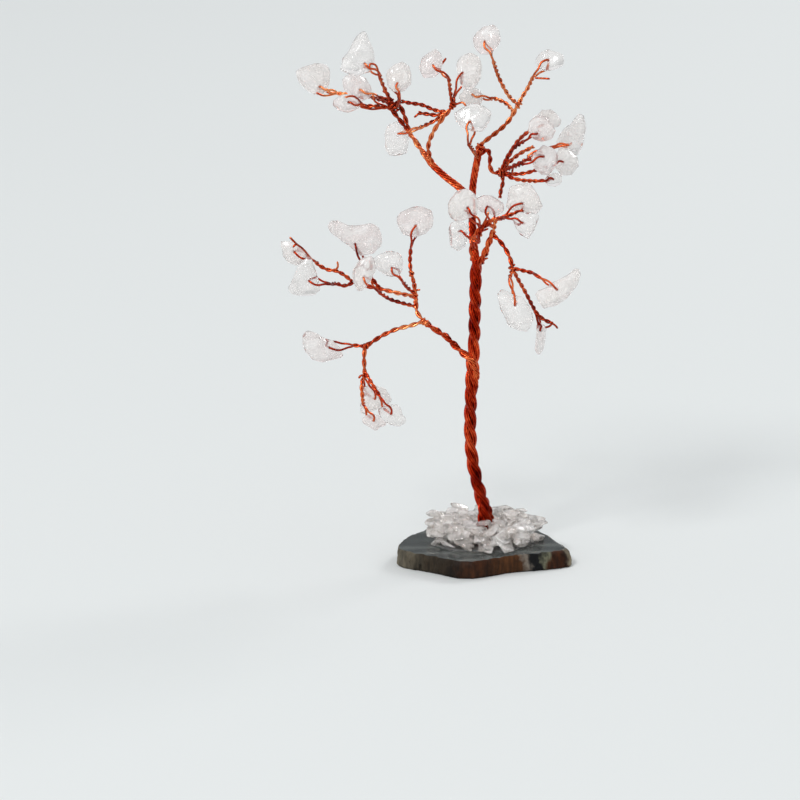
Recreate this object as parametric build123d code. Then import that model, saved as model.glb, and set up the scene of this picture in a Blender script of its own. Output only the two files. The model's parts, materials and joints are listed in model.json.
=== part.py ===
from build123d import *
import math
import os
import random

# Reference view: routes and outlines are read as column, row and depth in its pixels
PIXEL_SIZE = 0.25
FOOT_COLUMN_PX = 484
FOOT_ROW_PX = 540
VIEW_TILT_DEG = 15
DEPTH_STRETCH = 1.5

# Agate slice
SLAB_WIDTH = 44.0
SLAB_DEPTH = 40.0
SLAB_THICKNESS = 4.6
SLAB_BEVEL = 0.6
SLAB_SHIFT = 0.1

# Bed of clear glue and the heap of loose chips on it
GLUE_THICKNESS = 1.0
GLUE_BEVEL = 0.4
HEAP_WIDTH = 31.0
HEAP_DEPTH = 28.0
HEAP_ROOM = 4.5
HEAP_CHIP_LENGTH = 4.0
HEAP_CHIP_HEIGHT = 2.2

# Copper wire: single wire, and the thicker bundles that boughs and trunk are laid from
WIRE_RADIUS = 0.25
LIMB_STRAND_RADIUS = 0.32
BOUGH_STRAND_RADIUS = 0.36
TRUNK_TOP_STRAND_RADIUS = 0.34
TRUNK_MID_STRAND_RADIUS = 0.4
TRUNK_FOOT_STRAND_RADIUS = 0.42
STRAND_GAP = 0.03
TWIG_PITCH = 3.4
LIMB_PITCH = 5.2
BOUGH_PITCH = 6.4
TRUNK_PITCH = 17.0
SEAT_GAP = 0.15

# Hairpin that carries each stone
CROTCH_LENGTH = 1.1
BEND_RADIUS = 0.4
LEG_GAP = 0.12
BORE_CLEARANCE = 0.08
STONE_SWING_GAP = 0.25
TIP_ROOM = 1.2
STONE_THICKNESS_LEAST = 2.0
STONE_THICKNESS_MOST = 3.6

# Laying a strand: left-hand twist, three biarcs to the turn, six flats to the wire
STEPS_PER_TURN = 3
STEPS_LEAST = 2
CORE_STEPS_PER_TURN = 4
ROOT_STEPS = 3
WIRE_FLATS = 6
BOUGH_STRAND_COUNT = 3
LIMB_STRAND_COUNT = 2
LEAST_TURN = 1e-5
LEAST_SINE = 0.01
ROUTE_SAMPLES = 40
SIDE_WAY = (0.3, 1, 0.2)

# How far stones turn from the viewer, from one to the next, and the cone behind a bore that the stone swings in
YAW_STEP_DEG = 47
YAW_SPAN_DEG = 50
PITCH_STEP_DEG = 29
PITCH_SPAN_DEG = 30
BACK_ANGLE_DEG = 60

# Outline of the slice, going round from its left tip, in shares of its width and depth
SLAB_OUTLINE_SHARES = [
    (-0.5, -0.19), (-0.41, 0.12), (-0.34, 0.22), (-0.21, 0.39), (-0.04, 0.5), (0.13, 0.47), (0.29, 0.27),
    (0.39, 0.12), (0.46, -0.05), (0.5, -0.21), (0.4, -0.29), (0.27, -0.335), (0.14, -0.38), (0, -0.47),
    (-0.12, -0.5), (-0.24, -0.43), (-0.35, -0.345),
]

# Height, spread and sideways lean of a stone's level sections, in shares of its thickness, outline and size
STONE_SECTION_SHARES = [(-0.5, 0.6, -0.05), (-0.16, 1.0, 0), (0.2, 0.96, 0.02), (0.5, 0.54, 0.06)]
STONE_THICKNESS_SHARE = 0.42

# Trunk, foot to crown: route, strands, strand radius
TRUNK_ROUTES_PX = {
    "trunk_foot": [
        (488, 535, 0), (486, 516, 0), (479, 488, 0), (473, 462, 0), (470.5, 437, 0), (471, 412, 0),
        (473, 382, 0), (474, 359, 0),
    ],
    "trunk_middle": [(474, 359, 0), (475.5, 335, 0), (475.5, 310, 0), (475.5, 285, 0), (476, 263, 0)],
    "trunk_top": [
        (476, 263, 0), (473, 245, 2), (471.5, 215, 4), (472, 190, 4), (475, 170, 3), (479, 150, 0),
    ],
}
TRUNK_STRAND_COUNTS = {"trunk_foot": 9, "trunk_middle": 8, "trunk_top": 6}
TRUNK_STRAND_RADII = {
    "trunk_foot": TRUNK_FOOT_STRAND_RADIUS,
    "trunk_middle": TRUNK_MID_STRAND_RADIUS,
    "trunk_top": TRUNK_TOP_STRAND_RADIUS,
}

# Root wires that splay from the foot
ROOT_ROUTES_PX = [
    [(481, 519, -5), (480, 526, -5.5), (479.5, 532, -5.8)],
    [(494.5, 520, 4), (495.5, 527, 4.5), (496, 532, 5)],
]

# Boughs of three strands: the limb they leave, route from that limb's axis
BOUGH_ROUTES_PX = {
    "lower_left_bough": ("trunk_foot", [
        (473, 366, 0), (457, 348, -2), (446, 337, -4), (435, 330, -6), (424, 322, -8),
    ]),
    "lower_right_bough": ("trunk_middle", [
        (476, 268, 0), (484, 257, -7), (488, 247, -10), (493, 241, -12), (501, 246, -15), (507, 257, -18),
        (511, 270, -20),
    ]),
    "upper_left_bough": ("trunk_top", [
        (471.7, 202, 4), (459, 190, 6), (445, 179, 8), (432, 167, 10), (426, 158, 11),
    ]),
    "right_bough": ("trunk_top", [
        (477, 160, 1), (486, 153, 2), (489, 160, 4), (489, 169, 6), (493, 175, 8), (500, 174, 9),
    ]),
}

# Limbs of two strands: node, the limb they leave, route
LIMB_ROUTES_PX = {
    "low_hanging_limb": ("lower_left_limbs", "lower_left_bough", [
        (424, 322, -8), (411, 326, -11), (396, 330, -14), (381, 337, -17), (366, 347, -20),
    ]),
    "left_rising_limb": ("lower_left_limbs", "lower_left_bough", [
        (424, 322, -8), (417, 313, -6), (416, 304, -4), (415, 294, -2), (414, 284, 0),
    ]),
    "far_left_limb": ("lower_left_limbs", "left_rising_limb", [
        (415, 298, -2), (400, 294, 10), (380, 289, 16), (362, 285, 18), (353, 282, 18),
    ]),
    "drop_limb": ("lower_left_limbs", "low_hanging_limb", [
        (366, 347, -20), (364.5, 357, -21), (365, 374, -22),
    ]),
    "middle_bough": ("middle_limb", "trunk_top", [
        (472, 250, 1.5), (477, 236, -9), (486, 226, -16), (494, 222, -20),
    ]),
    "crown_left_limb": ("crown_limbs", "upper_left_bough", [
        (426, 158, 11), (416, 144, 12), (408, 130, 13), (401, 117, 14), (394, 109, 14),
    ]),
    "crown_rising_limb": ("crown_limbs", "upper_left_bough", [
        (432, 167, 10), (430, 150, 3), (434, 134, -1), (443, 122, -3), (452, 111, -5),
    ]),
    "top_bough": ("top_limb", "trunk_top", [
        (479, 150, 0), (484, 145, -2), (496, 136, -5), (504, 129, -7), (510, 121, -8), (516, 110, -10),
    ]),
}

# Twigs: node, the limb they leave, route towards the stone
TWIG_ROUTES_PX = [
    ("left_twigs", "low_hanging_limb", [(366, 347, -20), (358, 345, -23), (347, 347, -25)]),
    ("left_twigs", "drop_limb", [(365, 374, -22), (367, 379, -14), (369, 384, -8)]),
    ("left_twigs", "drop_limb", [(365, 372, -22), (371, 382, -27), (378, 393, -33)]),
    ("left_twigs", "drop_limb", [(365, 374, -22), (362, 385, -25), (363, 398, -25), (366, 407, -22)]),
    ("left_twigs", "far_left_limb", [
        (353, 282, 18), (344, 275, 17), (336, 271, 16), (328, 270, 15), (320, 266, 14), (312, 260, 12),
    ]),
    ("left_twigs", "far_left_limb", [(354, 282.5, 18), (344, 286, 12), (337, 284, 9), (330, 283, 7)]),
    ("left_twigs", "far_left_limb", [(380, 289, 16), (372, 276, 17), (364, 264, 17)]),
    ("left_twigs", "left_rising_limb", [(416, 307, -4), (403, 304, -10), (390, 300, -15), (381, 294, -18)]),
    ("left_twigs", "left_rising_limb", [(415, 294, -2), (408, 289, -8), (403, 282, -11)]),
    ("left_twigs", "left_rising_limb", [(414, 284, 0), (411, 273, 2), (410, 262, 3), (411, 249, 4)]),
    ("lower_right_twigs", "lower_right_bough", [
        (511, 270, -20), (519, 272, -23), (527, 274, -25), (534, 277, -27),
    ]),
    ("lower_right_twigs", "lower_right_bough", [(511, 270, -20), (509, 279, -26), (510, 287, -30)]),
    ("lower_right_twigs", "lower_right_bough", [
        (511, 270, -20), (517, 281, -15), (523, 291, -12), (529, 302, -10), (535, 315, -9),
    ]),
    ("middle_twigs", "middle_bough", [(494, 222, -20), (501, 219, -20), (507, 217, -20)]),
    ("middle_twigs", "middle_bough", [(494, 222, -20), (500, 222, -27), (506, 222, -32)]),
    ("middle_twigs", "middle_bough", [(486, 226, -16), (488, 222, -10), (489, 219, -7)]),
    ("middle_twigs", "middle_bough", [(480, 231, -11), (476, 228, -17), (472, 224, -20)]),
    ("middle_twigs", "middle_bough", [(477, 237, -9), (473, 242, -20), (469, 242, -28)]),
    ("crown_twigs", "crown_left_limb", [(394, 109, 14), (385, 111, 11), (375, 110, 9), (366, 110, 8)]),
    ("crown_twigs", "crown_left_limb", [
        (394, 109, 14), (384, 104, 24), (370, 99, 33), (352, 96, 37), (336, 94, 38),
    ]),
    ("crown_twigs", "crown_left_limb", [(394, 109, 14), (388, 99, 9), (383, 89, 5), (377, 81, 2)]),
    ("crown_twigs", "crown_left_limb", [(394, 109, 14), (387, 103, 16), (379, 100, 18)]),
    ("crown_twigs", "crown_left_limb", [(397, 112, 14), (398, 107, 10), (398, 102, 8)]),
    ("crown_twigs", "crown_rising_limb", [
        (434, 134, -1), (424, 133, -6), (417, 135, -10), (411, 137, -12),
    ]),
    ("crown_twigs", "crown_rising_limb", [(452, 111, -5), (450, 101, -9), (446, 91, -12), (442, 83, -14)]),
    ("crown_twigs", "crown_rising_limb", [(452, 111, -5), (454, 102, -1), (456, 94, 2)]),
    ("top_twigs", "top_bough", [(516, 110, -10), (521, 101, -11), (526, 93, -12), (533, 84, -13)]),
    ("top_twigs", "top_bough", [
        (516, 110, -10), (508, 104, -15), (501, 94, -19), (496, 84, -22), (490, 68, -25),
    ]),
    ("top_twigs", "top_bough", [(512, 118, -8.5), (504, 108, 2), (494, 103, 9), (486, 101, 13)]),
    ("top_twigs", "trunk_top", [(477, 161, 1), (474, 151, -9), (472, 144, -13)]),
    ("right_twigs", "right_bough", [(500, 174, 9), (505, 162, 4), (511, 153, 0), (517, 148, -3)]),
    ("right_twigs", "right_bough", [(500, 174, 9), (508, 158, 14), (517, 143, 18), (527, 132, 21)]),
    ("right_twigs", "right_bough", [
        (500, 174, 9), (511, 168, 19), (523, 162, 27), (538, 154, 33), (549, 149, 36),
    ]),
    ("right_twigs", "right_bough", [(500, 174, 9), (509, 168, 2), (517, 164, -3), (523, 162, -6)]),
    ("right_twigs", "right_bough", [
        (500, 174, 9), (511, 176, 12), (524, 175, 14), (537, 171, 16), (546, 167, 17),
    ]),
    ("right_twigs", "right_bough", [(500, 174, 9), (510, 180, 5), (522, 183, 2), (533, 183, 0)]),
]

# Stones, in the twigs' order: the bore, then the outline's corners
STONE_OUTLINES_PX = [
    ((328, 347, -27), [
        (304, 334), (308, 330), (315, 331), (322, 336), (332, 341), (342, 351), (343, 358), (336, 361),
        (323, 362), (314, 359), (308, 352), (305, 343),
    ]),
    ((373, 398, -1), [
        (361, 388), (368, 385), (378, 386), (386, 390), (392, 398), (391, 404), (381, 409), (370, 412),
        (359, 414), (359, 406), (362, 397),
    ]),
    ((390, 413, -31), [
        (378, 408), (387, 403), (397, 404), (401, 409), (402, 416), (407, 419), (406, 424), (399, 427),
        (388, 425), (380, 418),
    ]),
    ((373, 420, -17), [
        (362, 417), (370, 413), (379, 415), (386, 420), (387, 425), (380, 427), (376, 432), (371, 430),
        (363, 423),
    ]),
    ((294, 252, 9), [
        (281, 243), (286, 240), (294, 243), (303, 249), (311, 257), (303, 264), (296, 267), (288, 264),
        (283, 256),
    ]),
    ((309, 281, -2), [
        (309, 257), (313, 261), (317, 272), (320, 284), (321, 291), (316, 296), (304, 297), (291, 295),
        (288, 289), (293, 278), (300, 264),
    ]),
    ((355, 244, 16), [
        (330, 220), (337, 221), (347, 226), (360, 226), (371, 224), (379, 228), (383, 236), (381, 247),
        (373, 254), (361, 257), (351, 249), (339, 239), (329, 232), (328, 226),
    ]),
    ((364, 279, -25), [
        (353, 272), (357, 265), (365, 259), (373, 258), (377, 265), (376, 274), (371, 284), (364, 293),
        (358, 293), (353, 284),
    ]),
    ((392, 269, -15), [
        (371, 261), (379, 255), (389, 252), (398, 254), (403, 260), (403, 270), (399, 278), (390, 279),
        (378, 273),
    ]),
    ((416, 227, 5), [
        (395, 226), (396, 219), (402, 212), (411, 208), (422, 208), (431, 212), (434, 220), (432, 229),
        (425, 236), (414, 239), (402, 236),
    ]),
    ((555, 291, -31), [
        (533, 294), (543, 289), (553, 282), (564, 277), (571, 271), (577, 270), (578, 277), (573, 289),
        (564, 301), (552, 308), (541, 311), (534, 303),
    ]),
    ((514, 307, -35), [
        (496, 296), (500, 291), (510, 295), (521, 299), (528, 308), (531, 319), (530, 328), (525, 333),
        (514, 331), (506, 327), (500, 313),
    ]),
    ((540, 331, -8), [
        (535, 324), (541, 322), (546, 326), (545, 338), (542, 350), (538, 356), (534, 351), (535, 338),
    ]),
    ((521, 207, -20), [
        (504, 212), (506, 201), (509, 190), (518, 187), (528, 187), (534, 196), (540, 210), (535, 217),
        (520, 216),
    ]),
    ((521, 227, -38), [
        (509, 222), (516, 216), (527, 216), (536, 219), (536, 227), (531, 236), (525, 243), (518, 239),
        (512, 231),
    ]),
    ((488, 209, -3), [
        (475, 201), (484, 196), (494, 200), (503, 206), (503, 214), (497, 218), (487, 217), (478, 213),
    ]),
    ((464, 212, -24), [
        (447, 204), (455, 196), (466, 191), (474, 197), (477, 207), (475, 219), (464, 223), (455, 226),
        (448, 218),
    ]),
    ((458, 235, -40), [
        (447, 233), (450, 226), (460, 224), (468, 229), (466, 239), (463, 250), (456, 256), (449, 252),
    ]),
    ((349, 107, 5), [
        (333, 104), (339, 100), (348, 98), (357, 101), (361, 107), (358, 114), (349, 117), (340, 116),
        (334, 111),
    ]),
    ((319, 89, 38), [
        (295, 73), (304, 69), (314, 66), (325, 64), (330, 71), (330, 84), (327, 94), (318, 98), (307, 93),
        (299, 86),
    ]),
    ((364, 71, -3), [
        (364, 35), (368, 43), (373, 54), (375, 66), (371, 78), (360, 82), (348, 81), (341, 77), (344, 66),
        (350, 56), (356, 45),
    ]),
    ((360, 94, 20), [
        (342, 84), (348, 77), (358, 76), (366, 81), (372, 91), (371, 101), (362, 105), (351, 102),
        (344, 94),
    ]),
    ((397, 89, 5), [
        (385, 84), (388, 75), (394, 69), (402, 66), (408, 71), (412, 80), (411, 89), (404, 96), (394, 97),
        (387, 92),
    ]),
    ((398, 140, -16), [
        (384, 137), (389, 130), (397, 127), (403, 131), (408, 139), (410, 149), (407, 158), (399, 161),
        (390, 161), (385, 153),
    ]),
    ((432, 74, -17), [
        (418, 75), (421, 66), (428, 60), (435, 56), (440, 61), (442, 70), (440, 80), (433, 87), (424, 87),
        (419, 82),
    ]),
    ((462, 79, 7), [
        (455, 68), (461, 60), (470, 58), (478, 62), (481, 72), (480, 83), (475, 92), (467, 97), (460, 91),
        (456, 80),
    ]),
    ((545, 69, -15), [
        (531, 66), (536, 60), (545, 57), (554, 60), (561, 65), (560, 73), (552, 77), (542, 79), (534, 75),
    ]),
    ((483, 53, -28), [
        (471, 48), (474, 42), (482, 37), (491, 35), (498, 41), (498, 49), (494, 58), (487, 65), (478, 65),
        (472, 58),
    ]),
    ((472, 99, 18), [
        (456, 99), (463, 92), (472, 90), (480, 94), (483, 101), (479, 108), (469, 110), (460, 107),
    ]),
    ((470, 129, -18), [
        (453, 118), (461, 112), (472, 110), (482, 112), (489, 118), (487, 128), (481, 138), (469, 138),
        (459, 132), (454, 125),
    ]),
    ((536, 138, -14), [
        (526, 128), (533, 120), (541, 121), (548, 127), (552, 135), (549, 144), (539, 147), (530, 144),
        (526, 137),
    ]),
    ((546, 121, 25), [
        (536, 118), (541, 112), (549, 111), (556, 116), (561, 121), (557, 128), (548, 130), (540, 125),
    ]),
    ((570, 144, 41), [
        (556, 142), (562, 131), (570, 124), (577, 114), (583, 114), (585, 126), (583, 140), (578, 155),
        (569, 158), (559, 153),
    ]),
    ((539, 160, -12), [
        (528, 160), (533, 154), (542, 149), (551, 152), (555, 161), (553, 171), (547, 179), (538, 179),
        (530, 171),
    ]),
    ((560, 163, 20), [
        (552, 158), (560, 150), (569, 152), (576, 159), (577, 169), (570, 177), (560, 177), (553, 170),
    ]),
    ((550, 182, -3), [(542, 183), (546, 177), (553, 175), (560, 179), (560, 186), (553, 190), (545, 188)]),
]

# Height and spread of a heap chip's level sections, in shares of its height and outline
HEAP_SECTION_SHARES = [(0, 0.8), (0.35, 1), (0.7, 0.9), (1, 0.55)]
HEAP_CORNER_REACH_SHARE = 0.78
HEAP_CORNER_SHIFT_SHARE = 0.25
HEAP_TOP_SHARES = (0.75, 1.15)
HEAP_CORNER_COUNTS = (5, 6, 7)

# Heap of chips: share of the way from the foot's room to the heap's edge, chips in the ring, layer
HEAP_RING_SHARES = [(0, 6, 0), (0.39, 11, 0), (0.78, 17, 0), (0, 6, 1), (0.39, 11, 1), (0.02, 6, 2)]
HEAP_TOP_LAYER = 2
HEAP_SEED = 11


def place(spot):
    """A spot of the reference view as a point of the tree."""
    column, row, depth = spot
    tilt = math.radians(VIEW_TILT_DEG)
    back = depth * DEPTH_STRETCH * PIXEL_SIZE
    rise = (FOOT_ROW_PX - row) * PIXEL_SIZE
    height = SLAB_THICKNESS + (rise - back * math.sin(tilt)) / math.cos(tilt)
    return Vector((column - FOOT_COLUMN_PX) * PIXEL_SIZE, back, height)


def ring_radius(strands, strand_radius):
    """Radius of the circle on which touching strands lie, with a hair between them."""
    return (strand_radius + STRAND_GAP / 2) / math.sin(math.pi / strands)


def rope_radius(strands, strand_radius):
    return ring_radius(strands, strand_radius) + strand_radius


def bend(start, way, end):
    """Arc that leaves start along way, or a straight where there is no turn."""
    if way.cross((end - start).normalized()).length < LEAST_TURN:
        return Edge.make_line(start, end)
    return Edge.make_tangent_arc(start, way, end)


def biarc(start, start_way, end, end_way):
    """Two tangent arcs from one place and direction to another."""
    chord = end - start
    turn = 2 * (1 - start_way.dot(end_way))
    reach = chord.dot(start_way + end_way)
    span = chord.dot(chord)
    if turn < LEAST_TURN:
        handle = span / (2 * reach)
    else:
        handle = (math.sqrt(reach * reach + turn * span) - reach) / turn
    middle = (start + end + (start_way - end_way) * handle) / 2
    middle_way = ((end - end_way * handle) - (start + start_way * handle)).normalized()
    return [bend(start, start_way, middle), bend(middle, middle_way, end)]


def biarcs(line):
    edges = []
    for (start, start_way), (end, end_way) in zip(line, line[1:]):
        edges += biarc(start, start_way, end, end_way)
    return edges


def frames(route, steps):
    """Points along a route with its direction and a steady pair of cross axes."""
    found = []
    side = None
    for step in range(steps + 1):
        at = step / steps
        way = (route % at).normalized()
        if side is None:
            side = way.cross(Vector(SIDE_WAY)).normalized()
        side = (side - way * side.dot(way)).normalized()
        found.append((route @ at, way, side, way.cross(side)))
    return found


def step_count(route, pitch):
    return max(STEPS_LEAST, math.ceil(STEPS_PER_TURN * route.length / pitch))


def strand_line(route, ring, pitch, end_angle, square_tip=True):
    """Places and directions of one strand laid left-handed about a route, reaching end_angle at the tip."""
    length = route.length
    steps = step_count(route, pitch)
    square = (0, steps) if square_tip else (0,)
    rate = 2 * math.pi / pitch
    line = []
    for step, (spot, way, side, up) in enumerate(frames(route, steps)):
        angle = end_angle + rate * length * (1 - step / steps)
        out = side * math.cos(angle) + up * math.sin(angle)
        around = side * -math.sin(angle) + up * math.cos(angle)
        lay = way if step in square else (way - around * (rate * ring)).normalized()
        line.append((spot + out * ring, lay))
    return line


def wire_along(edges, start, way, radius):
    """Wire drawn along a chain of tangent arcs and straights."""
    section = Plane(origin=start, z_dir=way) * RegularPolygon(radius, WIRE_FLATS)
    return sweep(section.face(), path=Wire(edges), clean=False).solid()


def rope(route, strands, strand_radius, pitch):
    """Strands laid about a route, each a solid of its own."""
    ring = ring_radius(strands, strand_radius)
    solids = []
    for number in range(strands):
        line = strand_line(route, ring, pitch, 2 * math.pi * number / strands)
        solids.append(wire_along(biarcs(line), *line[0], strand_radius))
    return solids


def straight_wire(route, steps, radius):
    """One wire along a route, with no twist."""
    line = [(spot, way) for spot, way, side, up in frames(route, steps)]
    return wire_along(biarcs(line), *line[0], radius)


def core(route, strands, strand_radius):
    """Straight-laid wire that fills the middle of a rope."""
    radius = ring_radius(strands, strand_radius) - strand_radius - STRAND_GAP
    turns = math.ceil(route.length / TRUNK_PITCH)
    return straight_wire(route, turns * CORE_STEPS_PER_TURN, radius)


def seated_route(points, limb_route, limb_radius, own_radius, end_way=None):

    leave = (points[1] - points[0]).normalized()
    samples = [index / ROUTE_SAMPLES for index in range(ROUTE_SAMPLES + 1)]
    near = min(samples, key=lambda at: (limb_route @ at - points[0]).length)
    along = (limb_route % near).normalized()
    cosine = abs(leave.dot(along))
    sine = math.sqrt(max(1 - cosine * cosine, 0))
    ends_limb = (limb_route @ 1 - points[0]).length < own_radius and leave.dot(along) > 0
    past_end = (SEAT_GAP + own_radius * sine) / max(cosine, LEAST_SINE)
    past_side = (limb_radius + SEAT_GAP + own_radius * cosine) / max(sine, LEAST_SINE)
    start = points[0] + leave * (min(past_end, past_side) if ends_limb else past_side)
    if end_way is None:
        end_way = (points[-1] - points[-2]).normalized()
    return Spline(start, *points[1:], tangents=(leave, end_way))


def make_slab():
    """Agate slice: a level-sawn slab with an uneven outline and eased edges."""
    spots = [(across * SLAB_WIDTH + SLAB_SHIFT, deep * SLAB_DEPTH) for across, deep in SLAB_OUTLINE_SHARES]
    outline = make_face(Spline(spots, periodic=True))
    slab = extrude(outline, SLAB_THICKNESS)
    return chamfer(slab.edges().filter_by(Plane.XY), SLAB_BEVEL).solid()


def make_glue():
    """Low pad of clear glue under the heap."""
    pad = Pos(0, 0, SLAB_THICKNESS) * extrude(Ellipse(HEAP_WIDTH / 2, HEAP_DEPTH / 2), GLUE_THICKNESS)
    top_edge = pad.edges().sort_by(Axis.Z)[-1]
    return chamfer(top_edge, GLUE_BEVEL).solid()


def polygon_loft(outline, levels):

    middle = sum((Vector(x, y, 0) for x, y in outline), Vector(0, 0, 0)) / len(outline)
    rings = []
    for height, spread, lean in levels:
        heart = middle + Vector(lean, 0, height)
        rings.append([heart + (Vector(x, y, 0) - middle) * spread for x, y in outline])
    faces = [Face(Wire.make_polygon(rings[0])), Face(Wire.make_polygon(rings[-1]))]
    for low, high in zip(rings, rings[1:]):
        for corner, spot in enumerate(low):
            after = (corner + 1) % len(outline)
            faces.append(Face(Wire.make_polygon([spot, low[after], high[after], high[corner]])))
    return Solid(Shell(faces))


def heap_chip(dice, height):
    """One glued chip: a small faceted stone of a few corners."""
    corners = dice.choice(HEAP_CORNER_COUNTS)
    outline = []
    for corner in range(corners):
        shift = dice.uniform(-HEAP_CORNER_SHIFT_SHARE, HEAP_CORNER_SHIFT_SHARE)
        angle = 2 * math.pi * (corner + shift) / corners
        reach = HEAP_CHIP_LENGTH / 2 * dice.uniform(HEAP_CORNER_REACH_SHARE, 1)
        outline.append((reach * math.cos(angle), reach * math.sin(angle)))
    levels = [(high * height, spread, 0) for high, spread in HEAP_SECTION_SHARES]
    return polygon_loft(outline, levels)


def make_heap():
    """Rings of chips glued around the foot, in layers: the lowest, and those above it."""
    dice = random.Random(HEAP_SEED)
    lower, upper = [], []
    foot = place(TRUNK_ROUTES_PX["trunk_foot"][0])
    for ring, count, layer in HEAP_RING_SHARES:
        across = HEAP_ROOM + ring * (HEAP_WIDTH / 2 - HEAP_ROOM)
        deep = HEAP_ROOM + ring * (HEAP_DEPTH / 2 - HEAP_ROOM)
        start = dice.uniform(0, 1)
        for number in range(count):
            angle = 2 * math.pi * (number + start) / count
            height = HEAP_CHIP_HEIGHT
            if layer == HEAP_TOP_LAYER:
                height *= dice.uniform(*HEAP_TOP_SHARES)
            spot = Vector(
                foot.X * (1 - ring) + across * math.cos(angle),
                foot.Y + deep * math.sin(angle),
                SLAB_THICKNESS + GLUE_THICKNESS + layer * HEAP_CHIP_HEIGHT,
            )
            chip = Pos(spot) * heap_chip(dice, height)
            (upper if layer else lower).append(chip)
    return lower, upper


def swing(number, step, span):
    """Angle that steps through a span from one stone to the next."""
    return (number * step) % span - span / 2


def stone_seat(number, hole):
    """Plane through a stone's bore that faces the viewer, turned a little from stone to stone."""
    front = Vector(0, -1, 0).rotate(Axis.X, -VIEW_TILT_DEG)
    way = front.rotate(Axis.X, swing(number, PITCH_STEP_DEG, PITCH_SPAN_DEG))
    way = way.rotate(Axis.Z, swing(number, YAW_STEP_DEG, YAW_SPAN_DEG))
    across = Vector(1, 0, 0)
    across = across - way * across.dot(way)
    return Plane(origin=hole, x_dir=across, z_dir=way)


def make_stone(outline, thickness, flip):
    """Drilled stone in its own frame, with the bore on Z at the origin."""
    size = max(x for x, y in outline) - min(x for x, y in outline)
    levels = [(high * thickness, spread, lean * size) for high, spread, lean in STONE_SECTION_SHARES]
    if flip:
        levels = [(-high, spread, lean) for high, spread, lean in reversed(levels)]
    drill = Cylinder(WIRE_RADIUS + BORE_CLEARANCE, 2 * thickness)
    return (polygon_loft(outline, levels) - drill).solid()


def stone_outline(corners, hole_spot, seat):

    column, row, _ = hole_spot
    view_up = Vector(0, 0, 1).rotate(Axis.X, -VIEW_TILT_DEG)
    across = PIXEL_SIZE / seat.x_dir.X
    along = PIXEL_SIZE / seat.y_dir.dot(view_up)
    return [((x - column) * across, (row - y) * along) for x, y in corners]


def make_twig(spots, limb_route, limb_radius, number, hole_spot, corners):
    """Hairpin of one wire, its legs laid together, and the stone threaded on its bend."""
    points = [place(spot) for spot in spots]
    hole = place(hole_spot)
    seat = stone_seat(number, hole)
    outline = stone_outline(corners, hole_spot, seat)
    reaches = [max(side) - min(side) for side in zip(*outline)]
    thickness = min(max(STONE_THICKNESS_SHARE * min(reaches), STONE_THICKNESS_LEAST), STONE_THICKNESS_MOST)
    bore_way = seat.z_dir
    leave = hole - points[-1]
    leave = (leave - bore_way * leave.dot(bore_way)).normalized()
    back_least = math.cos(math.radians(BACK_ANGLE_DEG))
    corner_ways = [seat.x_dir * x + seat.y_dir * y for x, y in outline]
    back = max(way.length for way in corner_ways if -way.dot(leave) > back_least * way.length)

    tip = hole - leave * (CROTCH_LENGTH + STONE_SWING_GAP + back)
    on_the_way = [spot for spot in points[1:-1] if (tip - spot).dot(leave) > TIP_ROOM]
    ring = WIRE_RADIUS + STRAND_GAP
    route = seated_route([points[0], *on_the_way, tip], limb_route, limb_radius, ring + WIRE_RADIUS, leave)
    _, _, side, up = frames(route, step_count(route, TWIG_PITCH))[-1]
    end_angle = math.atan2(bore_way.dot(up), bore_way.dot(side))
    up_leg = strand_line(route, ring, TWIG_PITCH, end_angle, False)
    down_leg = strand_line(route, ring, TWIG_PITCH, end_angle + math.pi, False)
    down_leg = [(spot, way * -1) for spot, way in reversed(down_leg)]

    half = thickness / 2 + WIRE_RADIUS + LEG_GAP
    near, far = bore_way * half, bore_way * -half
    crotch = tip + leave * CROTCH_LENGTH
    short = leave * -BEND_RADIUS
    eased = bore_way * (half - BEND_RADIUS)
    edges = biarcs(up_leg)
    edges += biarc(*up_leg[-1], crotch + near, leave)
    edges.append(Edge.make_line(crotch + near, hole + near + short))
    edges.append(Edge.make_tangent_arc(hole + near + short, leave, hole + eased))
    edges.append(Edge.make_line(hole + eased, hole - eased))
    edges.append(Edge.make_tangent_arc(hole - eased, bore_way * -1, hole + far + short))
    edges.append(Edge.make_line(hole + far + short, crotch + far))
    edges += biarc(crotch + far, leave * -1, *down_leg[0])
    edges += biarcs(down_leg)
    hairpin = wire_along(edges, *up_leg[0], WIRE_RADIUS)
    return hairpin, seat.location * make_stone(outline, thickness, number % 2 == 0)


def make_root(spots):
    """Single wire that leaves the foot and stands on the glue."""
    route = Spline(*[place(spot) for spot in spots])
    return straight_wire(route, ROOT_STEPS, WIRE_RADIUS)


def save(name, solids):
    solids = solids if isinstance(solids, list) else [solids]
    shape = solids[0] if len(solids) == 1 else Compound(children=solids)
    shape.label = name
    export_step(shape, f"parts/{name}.step")


def save_trunk(routes, radii):
    """Trunk sections, each standing on the one below."""
    below = None
    for name, spots in TRUNK_ROUTES_PX.items():
        strands, strand_radius = TRUNK_STRAND_COUNTS[name], TRUNK_STRAND_RADII[name]
        points = [place(spot) for spot in spots]
        first_way = (points[1] - points[0]).normalized()
        last_way = (points[-1] - points[-2]).normalized()
        if below:
            first_way = (routes[below] % 1).normalized()
            points[0] = points[0] + first_way * SEAT_GAP
        routes[name] = Spline(*points, tangents=(first_way, last_way))
        radii[name] = rope_radius(strands, strand_radius)
        solids = rope(routes[name], strands, strand_radius, TRUNK_PITCH)
        save(name, solids + [core(routes[name], strands, strand_radius)])
        below = name


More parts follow.
